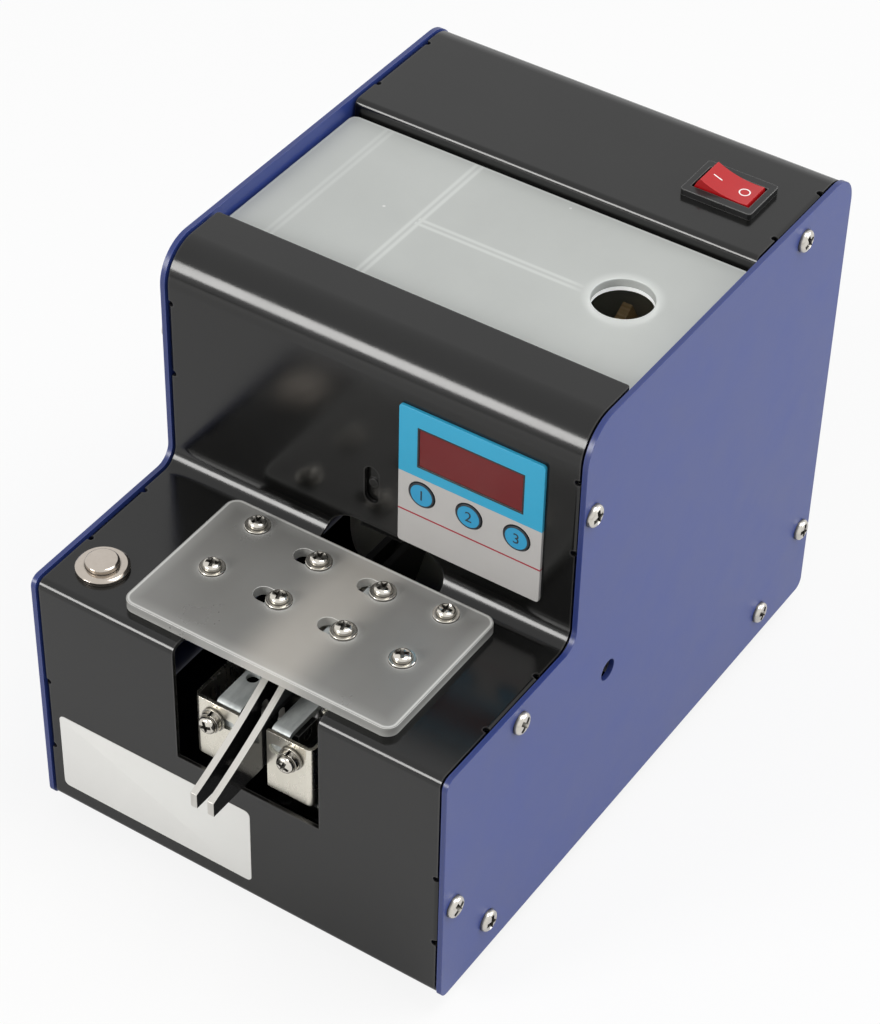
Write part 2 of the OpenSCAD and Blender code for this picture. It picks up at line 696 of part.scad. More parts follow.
module front_cover() {
    deck_end = face_y - inner_r + 1;
    strip_corner = 0.8;
    color(black_coat) {
        difference() {
            along_x(-sheet_hw, 2 * sheet_hw) front_cover_outline();
            both_sides() {
                at_front() tab_cut(front_tab);
                at_deck() tab_cut(deck_tab);
                at_face() tab_cut(face_tab);
                translate([0, 0, strip_z - sheet_t - 1]) linear_extrude(sheet_t + 2)
                    corner_cut([sheet_hw, strip_y], strip_corner, 2);
            }
            translate([feed_x - notch_front_w / 2, -1, notch_front_z])
                cube([notch_front_w, deck_end + 1, deck_h - notch_front_z]);
            along_y(deck_end - 2, upright_y + sheet_t + 3 - deck_end) feed_opening();
            along_y(upright_y - 1, sheet_t + 2) {
                translate([gate_x, gate_screw_z]) rotate(90)
                    slot_2d(gate_slot_w, gate_slot[2] - gate_slot[1]);
                translate([overlay_pos[0] - port_hw, key_z - key_d])
                    square([2 * port_hw, window_z + window[2] / 2 + 1 - key_z + key_d]);
            }
            translate([button_pos[0], button_pos[1], deck_z - sheet_t - 1])
                cylinder(d = button_body_d + 2 * seat_gap, h = sheet_t + 2);
            for (p = cover_screw_points()) translate([p[0], p[1], deck_z - sheet_t - 1])
                cylinder(d = thread_d, h = sheet_t + 2);
        }
        both_sides() {
            at_front() tab(front_tab);
            at_deck() tab(deck_tab);
            at_face() tab(face_tab);
        }
    }
}

module rear_cover_outline() {
    bend = 2;
    drop = 10;
    low_c = back_y - corner_r;
    high_c = back_y - rear_sheet_r;
    translate([rear_y, strip_z - drop]) square([sheet_t, drop - bend]);
    quarter_ring([rear_y + bend, strip_z - bend], bend, sheet_t, 1);
    translate([rear_y + bend, strip_z - sheet_t]) square([high_c - rear_y - bend, sheet_t]);
    quarter_ring([high_c, strip_z - rear_sheet_r], rear_sheet_r, sheet_t, 0);
    translate([back_y - sheet_t, lip + corner_r])
        square([sheet_t, strip_z - lip - rear_sheet_r - corner_r]);
    quarter_ring([low_c, lip + corner_r], corner_r, sheet_t, 3);
    translate([back_y - flange_len, lip]) square([flange_len - corner_r, sheet_t]);
}
module rear_cover() {
    color(black_coat) {
        difference() {
            along_x(-sheet_hw, 2 * sheet_hw) rear_cover_outline();
            both_sides() {
                at_strip() tab_cut(strip_tab);
                at_back() tab_cut(back_tab);
            }
            translate([switch_pos[0], switch_pos[1], strip_z - sheet_t - 1]) linear_extrude(sheet_t + 2)
                square([switch_body[0] + 2 * seat_gap, switch_body[1] + 2 * seat_gap], center = true);
            rod_y([inlet_pos[0], back_y - sheet_t - 1, inlet_pos[1]], inlet_body_d + 2 * seat_gap,
                  sheet_t + 2);
        }
        both_sides() {
            at_strip() tab(strip_tab);
            at_back() tab(back_tab);
        }
    }
}

module base_plate() {
    inset = front_y + corner_r + 2 * seat_gap;
    color(black_coat) {
        difference() {
            translate([-sheet_hw, inset, base_z]) cube([2 * sheet_hw, body_d - 2 * inset, base_t]);
            both_sides() for (spec = base_tabs) at_base(spec) {
                translate([-tab_r, -1, -spec[1] / 2]) cube([tab_r + 1, base_t + 2, spec[1]]);
                relief_notches(spec, base_t);
            }
        }
        both_sides() for (spec = base_tabs) at_base(spec) tab(spec);
    }
}

module side_screws() {
    color(steel) both_sides() each_tab() translate([panel_t, 0, 0]) rotate([0, 90, 0]) pan_screw(shank_len);
}

module rubber_feet() {
    color(rubber_black) for (x = [-1, 1], y = [foot_inset[1], body_d - foot_inset[1]])
        translate([x * (body_w / 2 - foot_inset[0]), y, -foot_h]) difference() {
            cylinder(d1 = foot_d - foot_taper, d2 = foot_d, h = foot_h + base_z);
            translate([0, 0, -1]) cylinder(d = foot_recess[0], h = foot_recess[1] + 1);
        }
}

// Hopper, its boards, lid and scoop wheels
module hopper_trough() {
    slot_z = [tail_z - rail_room[1], rail_top + rail_room[2]];
    color(black_coat) difference() {
        along_x(hopper_left + trough_t, hopper_right - hopper_left - 2 * trough_t) {
            for (y = [trough_front - trough_t, trough_rear])
                translate([y, axle[1]]) square([trough_t, wall_top - axle[1]]);
            for (q = [2, 3]) quarter_ring(axle, trough_r + trough_t, trough_t, q);
        }
        translate([feed_x - rail_out - rail_room[0], trough_front - trough_t - 1, slot_z[0]])
            cube([2 * (rail_out + rail_room[0]), trough_t + 2, slot_z[1] - slot_z[0]]);
    }
}
module hopper_end_outline() {
    translate([trough_front - trough_t, axle[1]])
        square([2 * (trough_r + trough_t), wall_top - axle[1]]);
    intersection() {
        translate(axle) circle(trough_r + trough_t);
        square([2 * axle[0], axle[1]]);
    }
    translate([axle[0] - end_leg[0] / 2, floor_z]) square([end_leg[0], axle[1] - floor_z]);
}
module hopper_foot(x) {
    translate([x, axle[0] - end_leg[0] / 2, floor_z]) cube([end_leg[1], end_leg[0], trough_t]);
}
module hopper_end_left() {
    color(black_coat) {
        along_x(hopper_left, trough_t) difference() {
            hopper_end_outline();
            translate(axle) circle(d = bush_d);
            for (p = motor_screw_points()) translate(p) circle(d = clear_d);
        }
        hopper_foot(hopper_left - end_leg[1]);
    }
}
module hopper_end_right() {
    color(black_coat) {
        along_x(hopper_right - trough_t, trough_t) hopper_end_outline();
        hopper_foot(hopper_right - trough_t - end_leg[1]);
    }
}
module hopper_baffle() {
    x = hopper_left + trough_t;
    color(frosted) translate([x, baffle_y - baffle_t / 2, baffle_z])
        cube([board_x - x, baffle_t, wall_top - baffle_z]);
}
module bearing_board() {
    front = trough_front + board_fit;
    rear = trough_rear - board_fit;
    rear_fall = 1.7;
    color(bakelite) along_x(board_x, board_t) difference() {
        union() {
            intersection() {
                translate(axle) circle(trough_r - board_fit);
                square([2 * axle[0], axle[1]]);
            }
            polygon([
                [front, axle[1]], [rear, axle[1]],
                [rear, deck_h + board_tip[1] - rear_fall * board_tip[0]],
                [trough_rear - board_tip[0], deck_h + board_tip[1]], [front, deck_h + board_front]
            ]);
        }
        translate(axle) circle(d = shaft_d + 2 * run_gap);
    }
}
module slope_board() {
    low = axle[1] + slope_rise;
    x = board_x + board_t;
    far = hopper_right - trough_t;
    color(bakelite) along_y(trough_front + board_fit, 2 * (trough_r - board_fit))
        polygon([[x, low - board_t], [far, low + far - x - board_t], [far, low + far - x], [x, low]]);
}
module side_tray() {
    y = trough_front - trough_t;
    color(black_coat) along_y(y, 2 * (trough_r + trough_t)) {
        translate([side_tray_x, side_tray_z]) square([hopper_left - side_tray_x, trough_t]);
        translate([side_tray_x, side_tray_z]) square([trough_t, wall_top - side_tray_z]);
    }
}
module hopper_lid() {
    y = strip_y + lid_gap;
    len = rear_y - lid_gap - y;
    color(frosted) translate([0, y + len / 2, lid_z]) difference() {
        linear_extrude(lid_t) round_rect([2 * (inner_hw - lid_gap), len], lid_r);
        translate([lid_hole[0], lid_hole[1] - y - len / 2, -1]) cylinder(d = lid_hole_d, h = lid_t + 2);
    }
}
// One wheel with its disc on the outer side, running from x0 towards the rails in direction dir
module scoop_wheel(x0, dir) {
    paddle_count = 5;
    disc_d = 2 * wheel_r - 4;
    root = hub_d / 2 - 1;
    color([0.3, 0.3, 0.32]) translate([x0, axle[0], axle[1]]) mirror([dir < 0 ? 1 : 0, 0, 0]) difference() {
        union() {
            rod_x([0, 0, 0], hub_d, wheel_w);
            rod_x([0, 0, 0], disc_d, paddle_t);
            intersection() {
                rod_x([0, 0, 0], 2 * wheel_r, wheel_w);
                for (i = [0 : paddle_count - 1]) rotate([360 / paddle_count * i, 0, 0])
                    translate([0, -paddle_t / 2, root]) rotate([0, 0, -paddle_slant])
                        cube([2 * wheel_w, paddle_t, wheel_r]);
            }
        }
        rod_x([-1, 0, 0], shaft_d, wheel_w + 2);
    }
}
module scoop_wheel_left() { scoop_wheel(hopper_left + trough_t + head_h + wheel_gap[0], 1); }
module scoop_wheel_right() { scoop_wheel(board_x - wheel_gap[1], -1); }
module wheel_shaft() {
    start = hopper_left - shaft_in;
    color(steel) rod_x([start, axle[0], axle[1]], shaft_d, board_x + board_t - start);
}
module shaft_bush() {
    rim = [bush_d + 3, 1];
    color([0.75, 0.6, 0.3]) difference() {
        union() {
            rod_x([hopper_left, axle[0], axle[1]], bush_d, trough_t);
            rod_x([hopper_left + trough_t, axle[0], axle[1]], rim[0], rim[1]);
        }
        rod_x([hopper_left - 1, axle[0], axle[1]], shaft_d + 2 * run_gap, trough_t + rim[1] + 2);
    }
}

// Worm gear motor beside the hopper
function motor_screw_points() = [
    for (i = [0, 1], z = [motor_screw[0], motor_size[2] - motor_screw[0]])
        [motor_y + motor_screw[0] + i * motor_screw[1], motor_z + z]
];
module gear_motor() {
    x = hopper_left - motor_size[0];
    corner = 4;
    bore = shaft_in + 2;
    color([0.55, 0.55, 0.55]) difference() {
        along_x(x, motor_size[0]) translate([motor_y + motor_size[1] / 2, motor_z + motor_size[2] / 2])
            round_rect([motor_size[1], motor_size[2]], corner);
        rod_x([hopper_left - bore, axle[0], axle[1]], shaft_d + 2 * run_gap, bore + 1);
        for (p = motor_screw_points())
            rod_x([hopper_left - motor_screw_in - 1, p[0], p[1]], thread_d, motor_screw_in + 2);
    }
}
module motor_can() {
    y = motor_y + motor_size[1];
    p = [hopper_left - motor_size[0] / 2, y, motor_z + motor_size[2] / 2];
    end_boss = [8, 2];
    color(steel) {
        rod_y(p, can_d, can_len);
        rod_y([p[0], y + can_len, p[2]], end_boss[0], end_boss[1]);
    }
}
module motor_screws() {
    color(steel) for (p = motor_screw_points()) translate([hopper_left + trough_t, p[0], p[1]])
        rotate([0, 90, 0]) pan_screw(trough_t + motor_screw_in);
}

// Rails on their vibrating carrier
module rail_outline() {
    ramp = 5;
    difference() {
        polygon([
            [-tip_out, nose_z], [rail_step - ramp, nose_z], [rail_step, rail_seat],
            [vib_end + ramp - 1, rail_seat], [trough_front - ramp, tail_z], [rail_end, tail_z],
            [rail_end, rail_top], [-tip_out, rail_top]
        ]);
        translate(nose_c) circle(nose_r, $fn = 180);
        translate([beam[0], beam[1] + beam_slot / 2]) rotate(90) slot_2d(diode_d, diode_d + beam_slot);
        for (y = bolt_ys) translate([y, bolt_z]) circle(d = thread_d);
    }
}
module rail_left() { color(black_coat) along_x(feed_x - rail_out, rail_t) rail_outline(); }
module rail_right() { color(black_coat) along_x(feed_x + rail_in, rail_t) rail_outline(); }
module rail_carrier() {
    color([0.6, 0.6, 0.62]) difference() {
        along_y(vib_y, vib_len) {
            translate([feed_x - carrier_w / 2, carrier_z]) square([carrier_w, carrier_h]);
            translate([feed_x - rail_in, rail_seat - eps]) square([rail_gap, carrier_rib]);
        }
        for (y = bolt_ys) rod_x([feed_x - rail_out, y, bolt_z], thread_d, 2 * rail_out);
        leaf_screws(carrier_z + clamp_h / 2, thread_d);
    }
}
module rail_bolts() {
    past = 1.25 * bolt_nut[1];
    color(steel) for (y = bolt_ys) {
        rod_x([feed_x - rail_out - past, y, bolt_z], screw_d, 2 * rail_out + past);
        rod_x([feed_x + rail_out, y, bolt_z], bolt_head[0], bolt_head[1]);
        translate([feed_x - rail_out - bolt_nut[1], y, bolt_z]) rotate([0, 90, 0])
            cylinder(d = bolt_nut[0], h = bolt_nut[1], $fn = 6);
    }
}
// Screw shanks through a pair of clamps at one height, at both ends of the blocks
module leaf_screws(z, d) {
    depth = clamp_screw_in + 1;
    for (s = [-1, 1]) {
        rod_y([feed_x + s * clamp_dx, vib_y - leaf_t - clamp_t, z], d, leaf_t + clamp_t + depth);
        rod_y([feed_x + s * clamp_dx, vib_end - depth, z], d, leaf_t + clamp_t + depth);
    }
}
module leaf_spring(y) {
    color(steel) difference() {
        translate([feed_x - leaf_w / 2, y, leaf_z[0]]) cube([leaf_w, leaf_t, leaf_z[1] - leaf_z[0]]);
        for (z = [clamp_low_z, carrier_z]) leaf_screws(z + clamp_h / 2, thread_d);
    }
}
module leaf_spring_front() { leaf_spring(vib_y - leaf_t); }
module leaf_spring_rear() { leaf_spring(vib_end); }
// Clamp bars with their screws, at the front and the rear of the blocks
module clamps(z) {
    color([0.45, 0.45, 0.45]) for (y = [vib_y - leaf_t - clamp_t, vib_end + leaf_t]) difference() {
        translate([feed_x - leaf_w / 2, y, z]) cube([leaf_w, clamp_t, clamp_h]);
        leaf_screws(z + clamp_h / 2, thread_d);
    }
    color(steel) for (s = [-1, 1]) {
        translate([feed_x + s * clamp_dx, vib_y - leaf_t - clamp_t, z + clamp_h / 2])
            rotate([90, 0, 0]) pan_screw(leaf_t + clamp_t + clamp_screw_in);
        translate([feed_x + s * clamp_dx, vib_end + leaf_t + clamp_t, z + clamp_h / 2])
            rotate([-90, 0, 0]) pan_screw(leaf_t + clamp_t + clamp_screw_in);
    }
}
module clamps_upper() { clamps(carrier_z); }
module clamps_lower() { clamps(clamp_low_z); }
module vibrator_base() {
    color([0.35, 0.35, 0.36]) difference() {
        translate([feed_x - vib_w / 2, vib_y, vib_base_z]) cube([vib_w, vib_len, vib_base_h]);
        leaf_screws(clamp_low_z + clamp_h / 2, thread_d);
    }
}
module rubber_mounts() {
    inset = mount_d / 2 + 0.5;
    color(rubber_black) for (s = [-1, 1], y = [vib_y + inset, vib_end - inset])
        translate([feed_x + s * (vib_w / 2 - inset), y, floor_z]) cylinder(d = mount_d, h = mount_h);
}
module core_outline() {
    translate([core_y, vib_base_top]) {
        square([core_bar, core_h]);
        for (i = [0, 2, 4]) translate([0, i * core_bar]) square([core_leg, core_bar]);
    }
}
module magnet_core() { color([0.4, 0.4, 0.42]) along_x(feed_x - core_w / 2, core_w) core_outline(); }
module magnet_coil() {
    gap = 0.3;
    corner = 3;
    z = vib_base_top + core_h / 2;
    color([0.72, 0.42, 0.2]) along_y(core_y + core_bar + gap, core_leg - core_bar - 3 * gap) difference() {
        translate([feed_x, z]) round_rect([core_w + 2 * (core_bar - gap), 3 * core_bar - 2 * gap], corner);
        translate([feed_x, z]) square([core_w + 2 * gap, core_bar + 2 * gap], center = true);
    }
}
module armature() {
    low = vib_base_top + armature_gap;
    color([0.4, 0.4, 0.42])
        translate([feed_x - core_w / 2, core_y + core_leg + air_gap + vib_travel, low])
            cube([core_w, armature_t, carrier_z - low]);
}

// Rail cover and the head guides under it
function cover_screw_points() = [
    for (s = [-1, 1], y = [cover_screws[1], cover_screws[2]])
        [cover_x + s * (cover_w / 2 - cover_screws[0]), cover_rear - y]
];
function guide_points(s) = [
    for (y = [guide_screws[1], guide_screws[2]]) [guide_x + s * guide_screws[0], cover_rear - y]
];
module rail_cover() {
    color(frosted) difference() {
        translate([cover_x, cover_rear - cover_size[0] / 2, deck_z]) linear_extrude(cover_size[1])
            round_rect([cover_w, cover_size[0]], cover_r);
        for (p = cover_screw_points()) translate([p[0], p[1], deck_z - 1])
            cylinder(d = clear_d, h = cover_size[1] + 2);
        for (s = [-1, 1], p = guide_points(s)) translate([p[0] - guide_travel / 2, p[1], deck_z - 1])
            linear_extrude(cover_size[1] + 2) slot_2d(guide_slot_w, guide_slot_w + guide_travel);
    }
}
module rail_cover_screws() {
    color(nickel) for (p = cover_screw_points())
        translate([p[0], p[1], cover_top]) cover_screw(cover_size[1] + cover_screw_in);
}
module head_guide(s) {
    inner = feed_x + s * guide_edge[0];
    outer = guide_x + s * (guide_screws[0] + guide_rim);
    y = guide_edge[1];
    color(zinc) difference() {
        translate([min(inner, outer), y, guide_z]) cube([abs(outer - inner), cover_rear - 0.8 - y, guide_t]);
        for (p = guide_points(s)) translate([p[0], p[1], guide_z - 1]) cylinder(d = screw_d, h = guide_t + 2);
    }
}
module head_guide_left() { head_guide(-1); }
module head_guide_right() { head_guide(1); }
// The heads ride just above the cover, so that the guides can be slid along
module guide_screw_pair(s) {
    lift = 0.2;
    seat = cover_top + lift;
    color(nickel) for (p = guide_points(s)) translate([p[0], p[1], seat])
        cover_screw(seat - guide_z, guide_slot_w - 2 * hole_gap, seat - guide_z - guide_t);
}
module guide_screws_left() { guide_screw_pair(-1); }
module guide_screws_right() { guide_screw_pair(1); }

// Optical counter on both sides of the rail nose
module bracket() {
    bend = 2;
    slot = 5.4;
    outer = feed_x + bracket_x[1];
    h = bracket_z[1] - bracket_z[0];
    difference() {
        translate([0, 0, bracket_z[0]]) linear_extrude(h) {
            translate([feed_x + bracket_x[0], bracket_y])
                square([bracket_x[1] - bracket_x[0] - bend, bracket_t]);
            quarter_ring([outer - bend, bracket_y + bend], bend, bracket_t, 3);
            translate([outer - bracket_t, bracket_y + bend]) square([bracket_t, bracket_back - bend]);
        }
        along_y(bracket_y - 1, bracket_t + 2)
            translate([feed_x + bracket_screw[0] - slot / 2, bracket_screw[1]])
                slot_2d(clear_d, clear_d + slot);
    }
}
module sensor_brackets() { color(nickel) both_feed_sides() bracket(); }
module bracket_posts() {
    y = bracket_y + bracket_back - post_size[1];
    color(black_coat) both_feed_sides() translate([feed_x + bracket_x[1], y, floor_z]) {
        cube([post_size[0], post_size[1], bracket_z[1] - post_drop - floor_z]);
        cube([post_size[2], post_size[1], post_size[0]]);
    }
}
module bracket_screws() {
    past = 0.8;
    color(nickel) both_feed_sides()
        translate([feed_x + bracket_screw[0], washer_y[1], bracket_screw[1]]) rotate([90, 0, 0])
            pan_screw(bracket_y + bracket_t + holder_t + past - washer_y[1], bracket_head[0],
                      bracket_head[1]);
}
// Flat and split washers under the heads of the bracket screws
module spring_washers() {
    split = 0.8;
    color(steel) both_feed_sides() {
        washer(0);
        difference() {
            washer(1);
            translate([feed_x + bracket_screw[0] - split / 2, washer_y[1] - 1, bracket_screw[1]])
                cube([split, washer_t[1] + 2, washer_d[1]]);
        }
    }
}
module washer(i) {
    translate([feed_x + bracket_screw[0], washer_y[i], bracket_screw[1]]) difference() {
        rod_y([0, 0, 0], washer_d[i], washer_t[i]);
        rod_y([0, -1, 0], screw_d + 2 * seat_gap, washer_t[i] + 2);
    }
}
module sensor_holder(outer) {
    bend = 2.2;
    rim = [3.6, 5];
    y = bracket_y + bracket_t;
    low = bracket_screw[1] - rim[1];
    wide = bracket_screw[0] + rim[0];
    top = holder_top;
    difference() {
        union() {
            along_x(feed_x + holder_x[0], outer - holder_x[0]) {
                quarter_ring([y + bend, top - bend], bend, holder_t, 1);
                translate([y + bend, top - holder_t]) square([holder_end - y - bend, holder_t]);
            }
            along_y(y, holder_t) translate([feed_x + holder_x[0], low])
                square([wide - holder_x[0], top - bend - low]);
        }
        rod_y([feed_x + bracket_screw[0], y - 1, bracket_screw[1]], thread_d, holder_t + 2);
    }
}
// The left holder has a spare hole in its top
module sensor_holders() {
    spare = [3, 4];
    spare_d = 3.6;
    color(zinc) difference() {
        union() {
            sensor_holder(holder_x[2]);
            translate([2 * feed_x, 0, 0]) mirror([1, 0, 0]) sensor_holder(holder_x[1]);
        }
        translate([feed_x - holder_x[1] + spare[0], holder_end - spare[1], holder_top - holder_t - 1])
            cylinder(d = spare_d, h = holder_t + 2);
    }
}
// A clear diode in its block under a sensor holder
module diode_block() {
    block = [diode_block[0], diode_block[1], holder_top - holder_t - beam[1] + diode_block[2]];
    inset = diode_block[0] / 6;
    at_lens = [feed_x + rail_out + lens_gap, beam[0], beam[1]];
    difference() {
        translate([feed_x + holder_x[0] + inset, beam[0] - block[1] / 2, holder_top - holder_t - block[2]])
            cube(block);
        rod_x([feed_x + holder_x[0], beam[0], beam[1]], diode_d + 2 * thread_gap, block[0] + 2 * inset);
    }
    rod_x(at_lens, diode_d, holder_x[0] + block[0] - rail_out - lens_gap);
    translate(at_lens) sphere(d = diode_d);
}
module light_sensors() { color([0.2, 0.2, 0.22]) both_feed_sides() diode_block(); }

// Height gate behind the feed opening, with its lock screw in the oblong slot
module height_gate() {
    corner = 3;
    sunk = 0.9;
    color(black_coat) {
        along_y(gate_y, gate_t) difference() {
            translate([feed_x - gate[0] / 2, deck_h + gate[1]]) square([gate[0], gate[2] - gate[1]]);
            corner_cut([feed_x - gate[0] / 2, deck_h + gate[2]], corner, 3);
            corner_cut([feed_x + gate[0] / 2, deck_h + gate[2]], corner, 2);
        }
        rod_y([gate_x, upright_y + sunk, gate_screw_z], screw_d, gate_y - upright_y - sunk + gate_t / 2);
    }
}

// Control panel
function board_posts() = [
    for (x = [-1, 1], z = [-1, 1])
        overlay_pos + [x * (overlay_size[0] / 2 - post_inset[0]), z * (overlay_size[1] / 2 - post_inset[1])]
];
module control_overlay() {
    color([0.25, 0.62, 0.78]) along_y(upright_y - overlay_t, overlay_t) difference() {
        translate(overlay_pos) round_rect(overlay_size, overlay_r);
        translate([overlay_pos[0], window_z]) square([window[1], window[2]], center = true);
        for (x = key_x) translate([x, key_z]) circle(d = key_d + 2 * key_gap);
    }
}
module display_window() {
    sunk = 0.2;
    color([0.5, 0.12, 0.13]) along_y(upright_y - overlay_t + sunk, overlay_t)
        translate([overlay_pos[0], window_z]) square([window[1], window[2]], center = true);
}
module display_module() {
    y = upright_y + seat_gap + 0.2;
    color(rubber_black) translate([overlay_pos[0] - window[1] / 2, y, window_z - window[2] / 2])
        cube([window[1], pcb_y - y, window[2]]);
}
// Circuit board on its posts, with a push switch behind each key
module control_board() {
    size = overlay_size + [2, 1];
    post_d = 4;
    post_hole_d = 2.2;
    plunger_d = 3.4;
    color([0.1, 0.35, 0.2]) {
        along_y(pcb_y, pcb_t) difference() {
            translate(overlay_pos) round_rect(size, overlay_r);
            for (p = board_posts()) translate(p) circle(d = post_hole_d);
        }
        for (p = board_posts()) rod_y([p[0], upright_y + sheet_t, p[1]], post_d, board_gap);
        for (x = key_x) {
            translate([x - tact[0] / 2, pcb_y - tact[1], key_z - tact[0] / 2])
                cube([tact[0], tact[1], tact[0]]);
            rod_y([x, pcb_y - tact[1] - tact[2], key_z], plunger_d, tact[2]);
        }
    }
}
module key(i) {
    proud = 0.3;
    rest_gap = 0.15;
    face = upright_y - overlay_t - proud;
    stem = pcb_y - tact[1] - tact[2] - key_travel - rest_gap;
    color([0.2, 0.55, 0.72]) {
        rod_y([key_x[i], face, key_z], key_d, key_t);
        rod_y([key_x[i], face + key_t, key_z], key_stem_d, stem - face - key_t);
    }
}
module key_left() { key(0); }
module key_middle() { key(1); }
module key_right() { key(2); }

// Metal push button in the deck
module push_button() {
    edge = 0.7;
    rim = button_h[0] - edge;
    nut = [button_body_d + 4, 2.4];
    color(nickel) translate([button_pos[0], button_pos[1], deck_z]) difference() {
        union() {
            cylinder(d = button_d, h = rim);
            translate([0, 0, rim]) cylinder(d1 = button_d, d2 = button_d - 2 * edge, h = edge);
            translate([0, 0, -button_len]) cylinder(d = button_body_d, h = button_len);
            translate([0, 0, -sheet_t - nut[1]]) cylinder(d = nut[0], h = nut[1], $fn = 6);
        }
        translate([0, 0, -button_bore]) cylinder(d = cap_d + 2 * run_gap, h = button_bore + button_h[0] + 1);
    }
}
module button_cap() {
    edge = 0.5;
    end_gap = 0.4;
    low = cap_travel + end_gap - button_bore;
    color(nickel) translate([button_pos[0], button_pos[1], deck_z]) {
        translate([0, 0, button_h[1] - edge]) cylinder(d1 = cap_d, d2 = cap_d - 2 * edge, h = edge);
        translate([0, 0, low]) cylinder(d = cap_d, h = button_h[1] - edge - low);
    }
}

// Rocker switch in the rear top strip
module rocker_switch() {
    gap = 0.4;
    corner = 1;
    tag = [0.8, 4.8, 7];
    tag_pitch = 6;
    pin_end = 0.4;
    well = [2 * (rocker_r + gap), rocker_w + 2 * gap, bezel_h + strip_z - pivot_z + rocker_r + gap];
    color(rubber_black) translate([switch_pos[0], switch_pos[1], strip_z]) difference() {
        union() {
            linear_extrude(bezel_h) round_rect(bezel, corner);
            translate([-switch_body[0] / 2, -switch_body[1] / 2, -switch_body[2]])
                cube([switch_body[0], switch_body[1], switch_body[2] + eps]);
            for (i = [-1 : 1]) translate([i * tag_pitch - tag[0] / 2, -tag[1] / 2, -switch_body[2] - tag[2]])
                cube([tag[0], tag[1], tag[2] + eps]);
        }
        translate([-well[0] / 2, -well[1] / 2, bezel_h - well[2]]) cube([well[0], well[1], well[2] + 1]);
        rod_y([0, pin_end - switch_body[1] / 2, pivot_z - strip_z], pivot_d + 2 * run_gap,
              switch_body[1] - 2 * pin_end);
    }
}
module rocker() {
    hollow_r = 26;
    hollow = 1;
    rise = 4.2;
    low = 2 - rocker_r;
    pin = switch_body[1] - 1.4;
    color([0.8, 0.18, 0.2]) translate([switch_pos[0], switch_pos[1], pivot_z]) rotate([0, rocker_tilt, 0]) {
        along_y(-rocker_w / 2, rocker_w) difference() {
            intersection() {
                circle(rocker_r);
                translate([-rocker_r, low]) square([2 * rocker_r, rise - low]);
            }
            translate([0, rise - hollow + hollow_r]) circle(hollow_r);
        }
        rod_y([0, -pin / 2, 0], pivot_d, pin);
    }
}

// Power inlet in the back
module power_inlet() {
    color(rubber_black) difference() {
        union() {
            rod_y([inlet_pos[0], back_y, inlet_pos[1]], inlet_d, inlet_flange);
            rod_y([inlet_pos[0], back_y - inlet_len, inlet_pos[1]], inlet_body_d, inlet_len);
        }
        rod_y([inlet_pos[0], back_y - socket[1], inlet_pos[1]], socket[0], socket[1] + inlet_flange + 1);
    }
}

placed() side_panel_left();
placed() side_panel_right();
placed() front_cover();
placed() rear_cover();
placed() base_plate();
placed() side_screws();
placed() rubber_feet();
placed() hopper_trough();
placed() hopper_end_left();
placed() hopper_end_right();
placed() hopper_baffle();
placed() bearing_board();
placed() slope_board();
placed() side_tray();
placed() hopper_lid();
placed() scoop_wheel_left();
placed() scoop_wheel_right();
placed() wheel_shaft();
placed() shaft_bush();
placed() gear_motor();
placed() motor_can();
placed() motor_screws();
placed() rail_left();
placed() rail_right();
placed() rail_carrier();
placed() rail_bolts();
placed() leaf_spring_front();
placed() leaf_spring_rear();
placed() clamps_upper();
placed() clamps_lower();
placed() vibrator_base();
placed() rubber_mounts();
placed() magnet_core();
placed() magnet_coil();
placed() armature();
placed() rail_cover();
placed() rail_cover_screws();
placed() head_guide_left();
placed() head_guide_right();
placed() guide_screws_left();
placed() guide_screws_right();
placed() sensor_brackets();
placed() bracket_posts();
placed() bracket_screws();
placed() spring_washers();
placed() sensor_holders();
placed() light_sensors();
placed() height_gate();
placed() control_overlay();
placed() display_window();
placed() display_module();
placed() control_board();
placed() key_left();
placed() key_middle();
placed() key_right();
placed() push_button();
placed() button_cap();
placed() rocker_switch();
placed() rocker();
placed() power_inlet();
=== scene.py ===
import json
import math

import bmesh
import bpy
from mathutils import Matrix, Vector
from mathutils.bvhtree import BVHTree

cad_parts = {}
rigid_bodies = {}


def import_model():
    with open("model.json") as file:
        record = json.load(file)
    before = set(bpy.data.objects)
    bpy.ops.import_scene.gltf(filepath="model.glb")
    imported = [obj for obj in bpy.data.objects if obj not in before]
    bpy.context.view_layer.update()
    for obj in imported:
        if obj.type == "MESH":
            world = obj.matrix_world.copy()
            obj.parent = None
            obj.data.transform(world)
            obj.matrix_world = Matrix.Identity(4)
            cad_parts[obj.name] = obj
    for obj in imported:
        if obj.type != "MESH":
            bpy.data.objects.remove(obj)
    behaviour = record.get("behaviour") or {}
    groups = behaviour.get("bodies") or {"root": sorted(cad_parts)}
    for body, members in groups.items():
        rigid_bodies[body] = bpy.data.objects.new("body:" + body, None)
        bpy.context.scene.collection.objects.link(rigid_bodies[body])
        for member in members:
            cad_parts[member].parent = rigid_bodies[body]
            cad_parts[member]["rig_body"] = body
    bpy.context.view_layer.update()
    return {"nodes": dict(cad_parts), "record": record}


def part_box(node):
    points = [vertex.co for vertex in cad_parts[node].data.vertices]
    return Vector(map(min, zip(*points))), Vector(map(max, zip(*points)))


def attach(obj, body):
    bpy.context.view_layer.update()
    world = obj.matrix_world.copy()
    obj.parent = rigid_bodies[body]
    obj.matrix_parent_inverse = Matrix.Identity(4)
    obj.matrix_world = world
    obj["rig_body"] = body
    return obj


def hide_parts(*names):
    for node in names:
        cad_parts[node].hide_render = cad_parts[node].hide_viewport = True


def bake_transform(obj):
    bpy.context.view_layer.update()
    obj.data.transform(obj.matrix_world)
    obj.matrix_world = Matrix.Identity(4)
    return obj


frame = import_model()
nodes = frame["nodes"]
